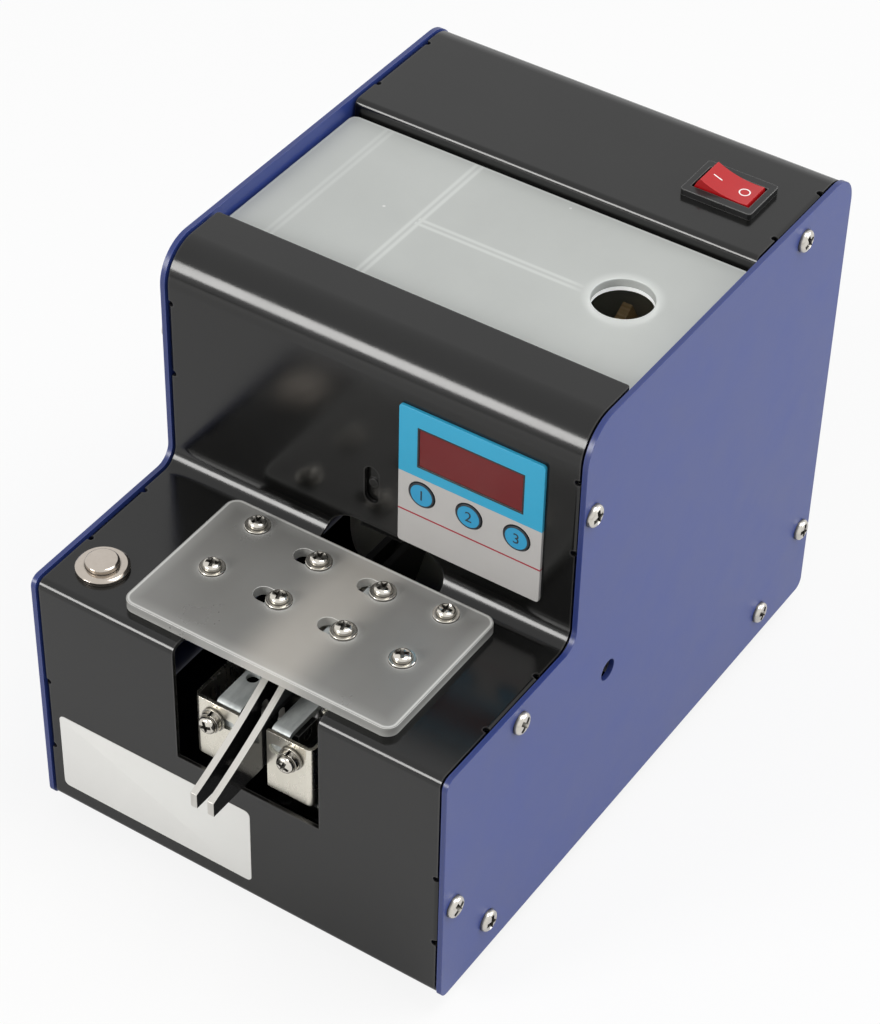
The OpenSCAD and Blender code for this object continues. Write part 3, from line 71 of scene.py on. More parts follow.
slotOf = {part["node"]: part["material_slot"] for part in frame["record"]["subparts"]}
black, white = (0, 0, 0, 1), (1, 1, 1, 1)
mm = 0.001
perMm = (1000, 1000, 1000)  # turns a place in metres into millimetres
print("frame loaded:", len(nodes), "nodes")


def fromScreen(red, green, blue):
    return tuple((c / 255 / 12.92) if c < 10.3 else ((c / 255 + 0.055) / 1.055) ** 2.4
                 for c in (red, green, blue)) + (1.0,)


# Camera, lamps and floor
camera = {
    "place": (0.342997, -0.529016, 0.636819),
    "azimuth": 33.323, "elevation": 42.629, "roll": 1.012,
    "lens": 109.39, "sensor": 36, "shift": (0.0284, 0.0585), "clip": (0.01, 50),
}


def makeCamera():
    turn, rise, roll = (math.radians(camera[k]) for k in ("azimuth", "elevation", "roll"))
    back = Vector((math.sin(turn) * math.cos(rise), -math.cos(turn) * math.cos(rise), math.sin(rise)))
    right = Vector((0, 0, 1)).cross(back).normalized()
    up = back.cross(right)
    rolledRight = math.cos(roll) * right + math.sin(roll) * up
    rolledUp = math.cos(roll) * up - math.sin(roll) * right
    lens = bpy.data.cameras.new("photoCamera")
    lens.lens, lens.sensor_width = camera["lens"], camera["sensor"]
    lens.shift_x, lens.shift_y = camera["shift"]
    lens.clip_start, lens.clip_end = camera["clip"]
    stand = bpy.data.objects.new("photoCamera", lens)
    pose = Matrix((rolledRight, rolledUp, back)).transposed().to_4x4()
    pose.translation = Vector(camera["place"])
    stand.matrix_world = pose
    bpy.context.scene.collection.objects.link(stand)
    bpy.context.scene.camera = stand


# Place in metres, size of the soft box, power and colour
lamps = {
    "keyBox": {"from": (-0.585, -1.14, 0.67), "size": (0.52, 0.5), "power": 12.5, "colour": (1, 0.99, 0.97)},
    "topBox": {"from": (0.48, 0.22, 1.42), "size": (0.75, 0.75), "power": 12, "colour": (1, 1, 1)},
    "backBox": {"from": (1.1, 0.9, 0.5), "size": (0.8, 0.8), "power": 8, "colour": (0.98, 0.99, 1)},
}
aim = Vector((0, 0, 0.08))  # the lamps face the middle of the machine


def makeLamps():
    for name, lamp in lamps.items():
        light = bpy.data.lights.new(name, "AREA")
        light.shape = "RECTANGLE"
        light.size, light.size_y = lamp["size"]
        light.energy, light.color = lamp["power"], lamp["colour"]
        stand = bpy.data.objects.new(name, light)
        stand.location = lamp["from"]
        stand.rotation_euler = (aim - Vector(lamp["from"])).to_track_quat("-Z", "Y").to_euler()
        bpy.context.scene.collection.objects.link(stand)


# Node helpers
def addNode(tree, kind, sockets=None, **props):
    node = tree.nodes.new(kind)
    for key, value in props.items():
        setattr(node, key, value)
    for key, value in (sockets or {}).items():
        if isinstance(value, bpy.types.NodeSocket):
            tree.links.new(value, node.inputs[key])
        else:
            node.inputs[key].default_value = value
    return node


def math2(tree, operation, a, b=0.5):
    return addNode(tree, "ShaderNodeMath", {0: a, 1: b}, operation=operation).outputs[0]


def remap(tree, value, low, high, toLow=0.0, toHigh=1.0, smooth=False):
    kind = "SMOOTHSTEP" if smooth else "LINEAR"
    return addNode(tree, "ShaderNodeMapRange", {
        "Value": value, "From Min": low, "From Max": high, "To Min": toLow, "To Max": toHigh,
    }, interpolation_type=kind).outputs["Result"]


def mixColour(tree, mask, first, second):
    return addNode(tree, "ShaderNodeMix", {0: mask, 6: first, 7: second}, data_type="RGBA").outputs[2]


def mixValue(tree, mask, first, second):
    return addNode(tree, "ShaderNodeMix", {0: mask, 2: first, 3: second}, data_type="FLOAT").outputs[0]


def objectPlace(tree, scale=(1, 1, 1), centre=(0, 0, 0)):
    coords = addNode(tree, "ShaderNodeTexCoord").outputs["Object"]
    moved = addNode(tree, "ShaderNodeVectorMath", {0: coords, 1: centre}, operation="SUBTRACT").outputs[0]
    return addNode(tree, "ShaderNodeVectorMath", {0: moved, 1: scale}, operation="MULTIPLY").outputs[0]


def split(tree, vector):
    return addNode(tree, "ShaderNodeSeparateXYZ", {0: vector}).outputs


def lengthOf(tree, first, second):
    joined = addNode(tree, "ShaderNodeCombineXYZ", {0: first, 1: second}).outputs[0]
    return addNode(tree, "ShaderNodeVectorMath", {0: joined}, operation="LENGTH").outputs["Value"]


def most(tree, first, *others):
    for other in others:
        first = math2(tree, "MAXIMUM", first, other)
    return first


def distanceFrom(tree, value, place):
    return math2(tree, "ABSOLUTE", math2(tree, "SUBTRACT", value, place))


def within(tree, value, centre, half):
    return math2(tree, "LESS_THAN", distanceFrom(tree, value, centre), half)


def trueNormal(tree, axis):
    normal = split(tree, addNode(tree, "ShaderNodeNewGeometry").outputs["True Normal"])
    return math2(tree, "ABSOLUTE", normal[axis])


def openness(tree, reach):
    return addNode(tree, "ShaderNodeAmbientOcclusion", {"Distance": reach * mm}, samples=8).outputs["AO"]


def noise(tree, place, scale, detail, rough=0.5):
    return addNode(tree, "ShaderNodeTexNoise", {
        "Vector": place, "Scale": scale, "Detail": detail, "Roughness": rough}).outputs["Fac"]


def wave(tree, direction, scale, distortion, detail):
    return addNode(tree, "ShaderNodeTexWave", {
        "Vector": objectPlace(tree), "Scale": scale, "Distortion": distortion, "Detail": detail,
    }, bands_direction=direction).outputs["Fac"]


def startGroup(name, inputs, outputs):
    tree = bpy.data.node_groups.new(name, "ShaderNodeTree")
    for label, kind, value in inputs:
        socket = tree.interface.new_socket(name=label, in_out="INPUT", socket_type=kind)
        socket.default_value = value
    for label, kind in outputs:
        tree.interface.new_socket(name=label, in_out="OUTPUT", socket_type=kind)
    return tree, tree.nodes.new("NodeGroupInput").outputs, tree.nodes.new("NodeGroupOutput")


def useGroup(tree, group, sockets):
    return addNode(tree, "ShaderNodeGroup", sockets, node_tree=group).outputs


number, colour, vector = "NodeSocketFloat", "NodeSocketColor", "NodeSocketVector"
# Uneven patches of a coat: detail and roughness of both noises, how far they swing the colour and the roughness
grainNoise = {"patch": (5.0, 0.6), "fine": (3.0, 0.55), "swing": 4.0, "spread": (0.3, 0.7)}


def makeGrainGroup():
    tree, given, out = startGroup("coatGrain", [
        ("Color", colour, (0.5, 0.5, 0.5, 1)), ("Mottle", number, 0.1), ("Patch Scale", number, 40),
        ("Grain Scale", number, 900), ("Rough Low", number, 0.3), ("Rough High", number, 0.4),
    ], [("Color", colour), ("Roughness", number), ("Height", number)])
    place = objectPlace(tree)
    patch = noise(tree, place, given["Patch Scale"], *grainNoise["patch"])
    grain = noise(tree, place, given["Grain Scale"], *grainNoise["fine"])
    swing = math2(tree, "MULTIPLY", math2(tree, "SUBTRACT", patch, 0.5), given["Mottle"])
    value = math2(tree, "ADD", math2(tree, "MULTIPLY", swing, grainNoise["swing"]), 1.0)
    shade = addNode(tree, "ShaderNodeHueSaturation", {"Value": value, "Color": given["Color"]}).outputs[0]
    rough = remap(tree, patch, *grainNoise["spread"], given["Rough Low"], given["Rough High"])
    tree.links.new(shade, out.inputs["Color"])
    tree.links.new(rough, out.inputs["Roughness"])
    tree.links.new(grain, out.inputs["Height"])
    return tree


# Specks in some of the cells, and a thin film on what faces up
dustNoise = {"speckReach": 0.1, "speckShare": 0.7, "upward": (0.2, 1.0), "drift": (25.0, 6.0), "driftOver": (0.4, 0.75)}


def makeDustGroup():
    tree, given, out = startGroup("dustSpecks", [
        ("Color", colour, (0, 0, 0, 1)), ("Dust Color", colour, (0.6, 0.6, 0.58, 1)),
        ("Amount", number, 0.02), ("Speck Scale", number, 220), ("Film", number, 0.02),
    ], [("Color", colour), ("Mask", number)])
    place = objectPlace(tree)
    cells = addNode(tree, "ShaderNodeTexVoronoi", {"Vector": place, "Scale": given["Speck Scale"]})
    chance = split(tree, cells.outputs["Color"])[0]
    kept = math2(tree, "LESS_THAN", chance, given["Amount"])
    near = math2(tree, "LESS_THAN", cells.outputs["Distance"], dustNoise["speckReach"])
    speck = math2(tree, "MULTIPLY", math2(tree, "MULTIPLY", kept, near), dustNoise["speckShare"])
    upward = split(tree, addNode(tree, "ShaderNodeNewGeometry").outputs["Normal"])[2]
    drift = noise(tree, place, *dustNoise["drift"])
    film = math2(tree, "MULTIPLY", remap(tree, upward, *dustNoise["upward"]),
                 remap(tree, drift, *dustNoise["driftOver"]))
    mask = most(tree, speck, math2(tree, "MULTIPLY", film, given["Film"]))
    tree.links.new(mixColour(tree, mask, given["Color"], given["Dust Color"]), out.inputs["Color"])
    tree.links.new(mask, out.inputs["Mask"])
    return tree


edgeTurn = (0.995, 0.9)  # cosine of the turn at an edge where the worn edge and its painted highlight begin, and where they are full


def makeEdgeGroup():
    tree, given, out = startGroup("edgeRub", [("Radius", number, 0.0006)], [("Mask", number)])
    bevelNormal = addNode(tree, "ShaderNodeBevel", {"Radius": given["Radius"]}, samples=4).outputs[0]
    plain = addNode(tree, "ShaderNodeNewGeometry").outputs["Normal"]
    turn = addNode(tree, "ShaderNodeVectorMath", {0: bevelNormal, 1: plain}, operation="DOT_PRODUCT").outputs["Value"]
    tree.links.new(remap(tree, turn, *edgeTurn), out.inputs["Mask"])
    return tree


# Drawn lines and cloudy patches: detail of the noises, their shares and how sharply they part the two tints
brushNoise = {"lines": (1.0, 4.0, 0.65), "lineShare": 0.6, "cloud": (120.0, 3.0), "cloudShare": 0.4,
              "spread": (0.35, 0.65)}


def makeBrushGroup():
    tree, given, out = startGroup("brushedGrain", [
        ("Stretch", vector, (1, 1, 1)), ("Rough Low", number, 0.2), ("Rough High", number, 0.35),
        ("Color", colour, (0.7, 0.7, 0.7, 1)), ("Tint", colour, (0.6, 0.6, 0.6, 1)),
    ], [("Color", colour), ("Roughness", number), ("Height", number)])
    coords = addNode(tree, "ShaderNodeTexCoord").outputs["Object"]
    drawn = addNode(tree, "ShaderNodeVectorMath", {0: coords, 1: given["Stretch"]}, operation="MULTIPLY").outputs[0]
    lines = noise(tree, drawn, *brushNoise["lines"])
    cloud = noise(tree, coords, *brushNoise["cloud"])
    both = math2(tree, "ADD", math2(tree, "MULTIPLY", lines, brushNoise["lineShare"]),
                 math2(tree, "MULTIPLY", cloud, brushNoise["cloudShare"]))
    mask = remap(tree, both, *brushNoise["spread"])
    tree.links.new(mixColour(tree, mask, given["Color"], given["Tint"]), out.inputs["Color"])
    tree.links.new(mixValue(tree, mask, given["Rough Low"], given["Rough High"]), out.inputs["Roughness"])
    tree.links.new(lines, out.inputs["Height"])
    return tree


coatGrain, dustSpecks, edgeRub, brushedGrain = (
    makeGrainGroup(), makeDustGroup(), makeEdgeGroup(), makeBrushGroup())


def startMaterial(name, **sockets):
    material = bpy.data.materials.new(name)
    material.use_nodes = True
    shader = material.node_tree.nodes["Principled BSDF"]
    for key, value in sockets.items():
        shader.inputs[key.replace("_", " ")].default_value = value
    return material, material.node_tree, shader


def feed(tree, shader, **links):
    for key, socket in links.items():
        tree.links.new(socket, shader.inputs[key.replace("_", " ")])


fineDepth, coarseDepth = 0.1 * mm, 0.2 * mm  # of the relief


def bump(tree, shader, height, strength, depth=fineDepth):
    made = addNode(tree, "ShaderNodeBump", {"Height": height, "Strength": strength, "Distance": depth})
    tree.links.new(made.outputs[0], shader.inputs["Normal"])


def useCoat(tree, tone, look):
    low, high = look["rough"]
    return useGroup(tree, coatGrain, {
        "Color": tone, "Mottle": look["mottle"], "Patch Scale": look["patch"], "Grain Scale": look["grain"],
        "Rough Low": low, "Rough High": high})


def useBrush(tree, look):
    low, high = look["rough"]
    return useGroup(tree, brushedGrain, {
        "Stretch": look["stretch"], "Color": look["colour"], "Tint": look["tint"],
        "Rough Low": low, "Rough High": high})


def coatAll(tree, shader, tone, look, height=None, depth=fineDepth):
    coat = useCoat(tree, tone, look)
    feed(tree, shader, Base_Color=coat["Color"], Roughness=coat["Roughness"])
    bump(tree, shader, height or coat["Height"], look["bump"], depth)


# Painted sheet: colour, edge colour for worn paint and a painted highlight along the edges, roughness range, dust
paints = {
    "black_coat": {"colour": (0.0042, 0.0042, 0.004, 1), "edge": (0.034, 0.033, 0.032, 1), "rough": (0.14, 0.2),
                   "grain": 750, "bump": 0.04, "dust": 0.0015, "film": 0.003, "specular": 0.42},
    "blue_paint": {"colour": (0.028, 0.05, 0.215, 1), "edge": (0.022, 0.038, 0.175, 1), "rough": (0.28, 0.36),
                   "grain": 900, "bump": 0.05, "dust": 0.003, "film": 0.0, "specular": 0.5,
                   "cut": (0.016, 0.028, 0.125, 1)},
    "hopper_paint": {"colour": (0.42, 0.415, 0.36, 1), "edge": (0.48, 0.475, 0.41, 1), "rough": (0.3, 0.4),
                     "grain": 750, "bump": 0.05, "dust": 0.004, "film": 0.01, "specular": 0.4},
}
paintPatches = {"mottle": 0.08, "patch": 45.0, "rub": 0.8, "dustRough": 0.4, "cutFacing": (0.3, 0.8)}
# Moulded plastics and the label's film: colour, edge colour for wear and a painted highlight along the edges, roughness
# range, grain
plastics = {
    "black_plastic": {"colour": (0.009, 0.009, 0.0092, 1), "edge": (0.17, 0.17, 0.165, 1), "rough": (0.24, 0.34),
                      "grain": 2200, "bump": 0.06, "specular": 0.36},
    "red_plastic": {"colour": fromScreen(164, 18, 23), "edge": fromScreen(182, 32, 37), "rough": (0.2, 0.28),
                    "grain": 700, "bump": 0.02},
    "wheel_nylon": {"colour": (0.05, 0.05, 0.053, 1), "edge": (0.08, 0.08, 0.083, 1), "rough": (0.4, 0.52),
                    "grain": 1500, "bump": 0.08},
    "rubber": {"colour": (0.016, 0.016, 0.016, 1), "edge": (0.03, 0.03, 0.03, 1), "rough": (0.6, 0.75),
               "grain": 2600, "bump": 0.15},
    "label_film": {"colour": fromScreen(205, 205, 202), "edge": fromScreen(203, 202, 199), "rough": (0.36, 0.48),
                   "grain": 2600, "bump": 0.04, "mottle": 0.02, "patch": 50.0, "rub": 0.5},
}
plasticPatches = {"mottle": 0.06, "patch": 90.0, "rub": 0.4, "specular": 0.5}
# Metals: colour, second tint, stretch of the grain, roughness range, and how strong the painted shade in their corners
# is
metals = {
    "screw_nickel": {"colour": (0.7, 0.67, 0.61, 1), "tint": (0.6, 0.57, 0.51, 1), "stretch": (900, 900, 900),
                     "rough": (0.14, 0.22), "bump": 0.02, "grime": 0.95, "reach": 2.2, "shade": (0.92, 0.5)},
    "button_nickel": {"colour": (0.54, 0.485, 0.43, 1), "tint": (0.49, 0.44, 0.385, 1), "stretch": (700, 700, 700),
                      "rough": (0.12, 0.18), "bump": 0.01, "grime": 0.85, "reach": 0.9, "shade": (0.85, 0.4)},
    "bracket_nickel": {"colour": (0.78, 0.748, 0.66, 1), "tint": (0.72, 0.688, 0.6, 1), "stretch": (260, 260, 60),
                       "rough": (0.24, 0.32), "bump": 0.01, "grime": 0.2},
    "zinc": {"colour": (0.66, 0.69, 0.68, 1), "tint": (0.42, 0.45, 0.45, 1), "stretch": (500, 120, 500),
             "rough": (0.36, 0.48), "bump": 0.04, "grime": 0.12, "metallic": 0.3},
    "steel": {"colour": (0.6, 0.6, 0.59, 1), "tint": (0.5, 0.5, 0.49, 1), "stretch": (60, 900, 900),
              "rough": (0.25, 0.36), "bump": 0.03, "grime": 0.5},
    "motor_alloy": {"colour": (0.45, 0.45, 0.45, 1), "tint": (0.36, 0.36, 0.36, 1), "stretch": (700, 700, 700),
                    "rough": (0.45, 0.6), "bump": 0.12, "grime": 0.5},
    "carrier_alloy": {"colour": (0.55, 0.55, 0.56, 1), "tint": (0.46, 0.46, 0.47, 1), "stretch": (80, 900, 900),
                      "rough": (0.3, 0.42), "bump": 0.04, "grime": 0.5},
    "brass": {"colour": (0.7, 0.5, 0.18, 1), "tint": (0.58, 0.4, 0.13, 1), "stretch": (90, 1200, 1200),
              "rough": (0.22, 0.34), "bump": 0.03, "grime": 0.5},
}
# Painted shade in corners, recesses and gaps between parts, found by occlusion: how far it reaches, at what openness,
# and its look
paintedCornerShade = {"reach": 1.2, "shade": (0.75, 0.25), "dirt": (0.03, 0.028, 0.025, 1), "dirtRough": 0.6, "metallic": 1.0}


def makePaint(slot):
    look = {**paintPatches, **paints[slot]}
    material, tree, shader = startMaterial(slot, Specular_IOR_Level=look["specular"])
    coat = useCoat(tree, look["colour"], look)
    # Edges: worn paint together with a painted highlight, found by the bevel of the normals
    rub = useGroup(tree, edgeRub, {"Radius": look["rub"] * mm})["Mask"]
    tone = coat["Color"]
    if "cut" in look:  # thinner paint on the cut edges of the flat panels
        tone = mixColour(tree, remap(tree, trueNormal(tree, 0), *look["cutFacing"]), look["cut"], tone)
    edged = mixColour(tree, rub, tone, look["edge"])
    dusty = useGroup(tree, dustSpecks, {"Color": edged, "Amount": look["dust"], "Film": look["film"]})
    duller = math2(tree, "MULTIPLY", dusty["Mask"], look["dustRough"])
    feed(tree, shader, Base_Color=dusty["Color"], Roughness=math2(tree, "ADD", coat["Roughness"], duller))
    bump(tree, shader, coat["Height"], look["bump"], coarseDepth)
    return material


def makePlastic(slot):
    look = {**plasticPatches, **plastics[slot]}
    material, tree, shader = startMaterial(slot, Specular_IOR_Level=look["specular"])
    coat = useCoat(tree, look["colour"], look)
    # Edges: wear together with a painted highlight, found by the bevel of the normals
    rub = useGroup(tree, edgeRub, {"Radius": look["rub"] * mm})["Mask"]
    feed(tree, shader, Base_Color=mixColour(tree, rub, coat["Color"], look["edge"]), Roughness=coat["Roughness"])
    bump(tree, shader, coat["Height"], look["bump"])
    return material


def makeMetal(slot):
    look = {**paintedCornerShade, **metals[slot]}
    material, tree, shader = startMaterial(slot, Metallic=look["metallic"])
    brush = useBrush(tree, look)
    # Painted shade: the colour is darkened where occlusion finds corners, recesses and gaps
    corner = remap(tree, openness(tree, look["reach"]), *look["shade"], 0.0, look["grime"])
    feed(tree, shader, Base_Color=mixColour(tree, corner, brush["Color"], look["dirt"]),
         Roughness=mixValue(tree, corner, brush["Roughness"], look["dirtRough"]))
    bump(tree, shader, brush["Height"], look["bump"])
    return material


# Ground top edges stay bright in front of the upright face, the rest is blackened
railFinish = {
    "ground": {"colour": (0.6, 0.585, 0.55, 1), "tint": (0.5, 0.485, 0.455, 1), "stretch": (2500, 90, 90),
               "rough": (0.34, 0.48)},
    "black": {"colour": (0.012, 0.012, 0.012, 1), "mottle": 0.1, "patch": 60.0, "grain": 1200.0, "rough": (0.1, 0.18)},
    "topFacing": (0.75, 0.65), "groundEnd": -33.0, "fade": 4.0, "bump": 0.03,
}


def makeRailFinish():
    look = railFinish
    material, tree, shader = startMaterial("rail_black")
    along = split(tree, objectPlace(tree, perMm))[1]
    bright = math2(tree, "MULTIPLY", remap(tree, trueNormal(tree, 0), *look["topFacing"]),
                   remap(tree, along, look["groundEnd"], look["groundEnd"] - look["fade"]))
    ground, coat = useBrush(tree, look["ground"]), useCoat(tree, look["black"]["colour"], look["black"])
    feed(tree, shader, Base_Color=mixColour(tree, bright, coat["Color"], ground["Color"]), Metallic=bright,
         Roughness=mixValue(tree, bright, coat["Roughness"], ground["Roughness"]))
    bump(tree, shader, ground["Height"], look["bump"])
    return material


# Frosted sheet: the lid has painted pale lines where the walls below show through it, and a painted halo and glowing
# lip at its finger hole
frosted = {
    "hopper_lid": {
        "colour": fromScreen(186, 189, 186), "edge": fromScreen(222, 225, 222), "through": 0.3, "rough": (0.36, 0.48),
        "wall": 0.25, "mottle": 0.07, "patch": 16.0, "rim": {"corner": 2.5, "line": 0.35, "glow": 0.0},
        "hole": {"at": (40.6, 27.15), "radius": 8.4, "halo": (3.2, 0.2), "haloShare": 0.6,
                 "lip": 0.7, "lipTop": 149.5, "lipGlow": 0.4}},
    "rail_cover": {
        "colour": fromScreen(131, 130, 127), "edge": fromScreen(236, 236, 232), "through": 0.35, "rough": (0.26, 0.36),
        "wall": 0.25, "mottle": 0.05, "patch": 35.0, "rim": {"corner": 3.5, "line": 0.8, "glow": 0.15},
        "glint": {"reach": 3.0, "shade": (0.96, 0.55), "strength": 0.7},
        "band": {"at": 7.0, "over": (15.0, 3.0), "colour": fromScreen(178, 174, 167)}},
    "hopper_baffle": {
        "colour": fromScreen(186, 190, 188), "edge": fromScreen(226, 231, 228), "through": 0.3, "rough": (0.4, 0.5),
        "wall": 1.0, "mottle": 0.04, "patch": 35.0},
}
frostedSheet = {"index": 1.49, "grain": 4500.0, "bump": 0.05, "edgeFacing": (0.97, 0.75), "wallFacing": (0.1, 0.4),
                "dust": {"Amount": 0.01, "Film": 0.05, "Dust Color": (0.8, 0.8, 0.79, 1)}}
# Border of a sheet: place of the pale line, where it and the glow fade
sheetRim = {"lineAt": 0.6, "lineOver": (0.55, 0.1), "glowOver": (5.0, 0.5)}
# Painted light of the walls below showing through the lid: two pale lines over the faces of each wall, place and
# strength
throughWallLines = {
    "alongY": ((-50.0, 0.3), (-21.0, 0.55)), "half": 0.95, "over": (0.95, 0.1),
    "alongX": {"y": 24.55, "from": -21.0, "to": 33.0, "fade": 8, "strength": 0.55},
}


def pairedLine(tree, along, place):
    off = distanceFrom(tree, distanceFrom(tree, along, place), throughWallLines["half"])
    return remap(tree, off, *throughWallLines["over"], smooth=True)


# Painted light: pale lines where the walls below show through the lid
def paintWallGlow(tree, x, y):
    across = throughWallLines["alongX"]
    span = math2(tree, "MULTIPLY", math2(tree, "GREATER_THAN", x, across["from"]),
                 remap(tree, x, across["to"], across["to"] - across["fade"], 0.0, across["strength"], smooth=True))
    marks = math2(tree, "MULTIPLY", pairedLine(tree, y, across["y"]), span)
    return most(tree, marks, *(math2(tree, "MULTIPLY", pairedLine(tree, x, place), strength)
                               for place, strength in throughWallLines["alongY"]))


def insetFrom(tree, x, y, node, radius):
    low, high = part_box(node)
    past = []
    for value, start, end in ((x, low.x, high.x), (y, low.y, high.y)):
        off = distanceFrom(tree, value, (start + end) / 2 / mm)
        past.append(math2(tree, "SUBTRACT", off, (end - start) / 2 / mm - radius))
    outer = lengthOf(tree, *(most(tree, value, 0.0) for value in past))
    inner = math2(tree, "MINIMUM", most(tree, *past), 0.0)
    return math2(tree, "SUBTRACT", radius, math2(tree, "ADD", outer, inner))


def borderGlow(tree, x, y, node, rim):
    inset = insetFrom(tree, x, y, node, rim["corner"])
    off = distanceFrom(tree, inset, sheetRim["lineAt"])
    return most(tree, remap(tree, off, *sheetRim["lineOver"], 0.0, rim["line"], smooth=True),
                remap(tree, inset, *sheetRim["glowOver"], 0.0, rim["glow"], smooth=True))


def holeEdge(tree, x, y, z, hole):
    radius, (wide, narrow) = hole["radius"], hole["halo"]
    out = lengthOf(tree, *(math2(tree, "SUBTRACT", value, place) for value, place in zip((x, y), hole["at"])))
    halo = remap(tree, out, radius + wide, radius + narrow, 0.0, hole["haloShare"], smooth=True)
    lip = math2(tree, "MULTIPLY", math2(tree, "LESS_THAN", out, radius + hole["lip"]),
                math2(tree, "LESS_THAN", z, hole["lipTop"]))
    return halo, lip


def makeFrosted(node):
    look = {**frostedSheet, **frosted[node]}
    material, tree, shader = startMaterial("frosted_" + node, Transmission_Weight=look["through"], IOR=look["index"])
    x, y, z = split(tree, objectPlace(tree, perMm))
    sheet = look["colour"]
    if "band" in look:  # milky glow of the bright guides below
        band = look["band"]
        near = remap(tree, distanceFrom(tree, x, band["at"]), *band["over"], smooth=True)
        sheet = mixColour(tree, near, sheet, band["colour"])
    coat = useCoat(tree, sheet, look)
    face = trueNormal(tree, 2)
    pale = math2(tree, "MULTIPLY", remap(tree, face, *look["edgeFacing"]),
                 remap(tree, face, *look["wallFacing"], look["wall"], 1.0))
    if "rim" in look:  # light carried to the border of the sheet
        pale = most(tree, pale, borderGlow(tree, x, y, node, look["rim"]))
    if "glint" in look:  # light thrown back beside the screws and in the slots
        glint = look["glint"]
        pale = most(tree, pale, remap(tree, openness(tree, glint["reach"]), *glint["shade"], 0.0, glint["strength"]))
    if "hole" in look:
        # Painted highlight: a pale halo round the finger hole; its lower lip gets a painted glow by emission
        halo, lip = holeEdge(tree, x, y, z, look["hole"])
        pale = most(tree, pale, paintWallGlow(tree, x, y), halo, lip)
        shader.inputs["Emission Strength"].default_value = look["hole"]["lipGlow"]
        feed(tree, shader, Emission_Color=mixColour(tree, lip, black, white))
    dusty = useGroup(tree, dustSpecks, {"Color": mixColour(tree, pale, coat["Color"], look["edge"]), **look["dust"]})
    feed(tree, shader, Base_Color=dusty["Color"], Roughness=coat["Roughness"])
    bump(tree, shader, coat["Height"], look["bump"])
    return material


# Printed film: blue above, grey below, a red line, a dark frame round the window
overlayPrint = {
    "blue": fromScreen(42, 150, 186), "grey": fromScreen(172, 170, 168), "red": fromScreen(150, 22, 44),
    "frame": (0.012, 0.012, 0.014, 1), "blueAbove": 120.2, "lineAt": 107.4, "lineHalf": 0.25, "frameWidth": 0.55,
    "mottle": 0.03, "patch": 60.0, "grain": 3500.0, "rough": (0.3, 0.4), "bump": 0.05,
}


def makeOverlayPrint():
    look = overlayPrint
    material, tree, shader = startMaterial("overlay_print")
    place = split(tree, objectPlace(tree, perMm))
    low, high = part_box("display_window")
    ground = mixColour(tree, math2(tree, "GREATER_THAN", place["Z"], look["blueAbove"]), look["grey"], look["blue"])
    lined = mixColour(tree, within(tree, place["Z"], look["lineAt"], look["lineHalf"]), ground, look["red"])
    inFrame = math2(tree, "MULTIPLY", *(
        within(tree, value, (start + end) / 2 / mm, (end - start) / 2 / mm + look["frameWidth"])
        for value, start, end in ((place["X"], low.x, high.x), (place["Z"], low.z, high.z))))
    coatAll(tree, shader, mixColour(tree, inFrame, lined, look["frame"]), look)
    return material


# Round keys with a dark rim, and the numerals on them
keyMarks = {"key_left": "1", "key_middle": "2", "key_right": "3"}
keyPrint = {
    "blue": fromScreen(40, 140, 182), "rim": (0.012, 0.016, 0.022, 1), "rimFrom": 3.28,
    "mottle": 0.03, "patch": 200.0, "grain": 3500.0, "rough": (0.3, 0.4), "bump": 0.05,
}


def makeKeyPrint(node):
    look = keyPrint
    low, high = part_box(node)
    material, tree, shader = startMaterial("key_print_" + node)
    place = split(tree, objectPlace(tree, perMm, (low + high) / 2))
    rim = math2(tree, "GREATER_THAN", lengthOf(tree, place["X"], place["Z"]), look["rimFrom"])
    coatAll(tree, shader, mixColour(tree, rim, look["blue"], look["rim"]), look)
    return material


# Display window, and the inks of the marks on keys and rocker
films = {
    "red_window": {"colour": fromScreen(100, 30, 32), "mottle": 0.05, "patch": 80.0, "grain": 900.0,
                   "rough": (0.16, 0.24), "bump": 0.02, "specular": 0.3},
    "numeral_ink": {"colour": (0.012, 0.016, 0.022, 1), "mottle": 0.04, "patch": 300.0, "grain": 4000.0,
                    "rough": (0.35, 0.5), "bump": 0.05, "specular": 0.5},
    "mark_ink": {"colour": (0.8, 0.78, 0.76, 1), "mottle": 0.04, "patch": 300.0, "grain": 4000.0,
                 "rough": (0.35, 0.5), "bump": 0.05, "specular": 0.5},
}


def makeFilm(name):
    look = films[name]
    material, tree, shader = startMaterial(name, Specular_IOR_Level=look["specular"])
    coatAll(tree, shader, look["colour"], look)
    return material


# Phenolic board: fine cloth weave with darker threads
phenolic = {
    "dark": fromScreen(196, 160, 110), "pale": fromScreen(220, 188, 140), "threads": (350.0, 1.2, 2.0),
    "mottle": 0.1, "patch": 60.0, "grain": 1200.0, "rough": (0.4, 0.52), "bump": 0.08,
}


def makeBakelite():
    look = phenolic
    material, tree, shader = startMaterial("bakelite")
    warp, weft = (wave(tree, direction, *look["threads"]) for direction in "YZ")
    weave = math2(tree, "MULTIPLY", math2(tree, "ADD", warp, weft), 0.5)
    coatAll(tree, shader, mixColour(tree, weave, look["dark"], look["pale"]), look, weave)
    return material


# Winding: turns of enamelled wire; core: stacked plates
banded = {
    "copper_coil": {"along": "Z", "bands": (260.0, 0.3, 1.0), "first": (0.42, 0.15, 0.05, 1),
                    "second": (0.6, 0.26, 0.1, 1), "metallic": 0.8, "rough": (0.25, 0.36), "bump": 0.4},
    "core_steel": {"along": "X", "bands": (320.0, 0.3, 1.0), "first": (0.1, 0.1, 0.105, 1),
                   "second": (0.2, 0.2, 0.205, 1), "metallic": 0.9, "rough": (0.4, 0.52), "bump": 0.2},
}
bandPatches = {"mottle": 0.1, "patch": 90.0, "grain": 1500.0}


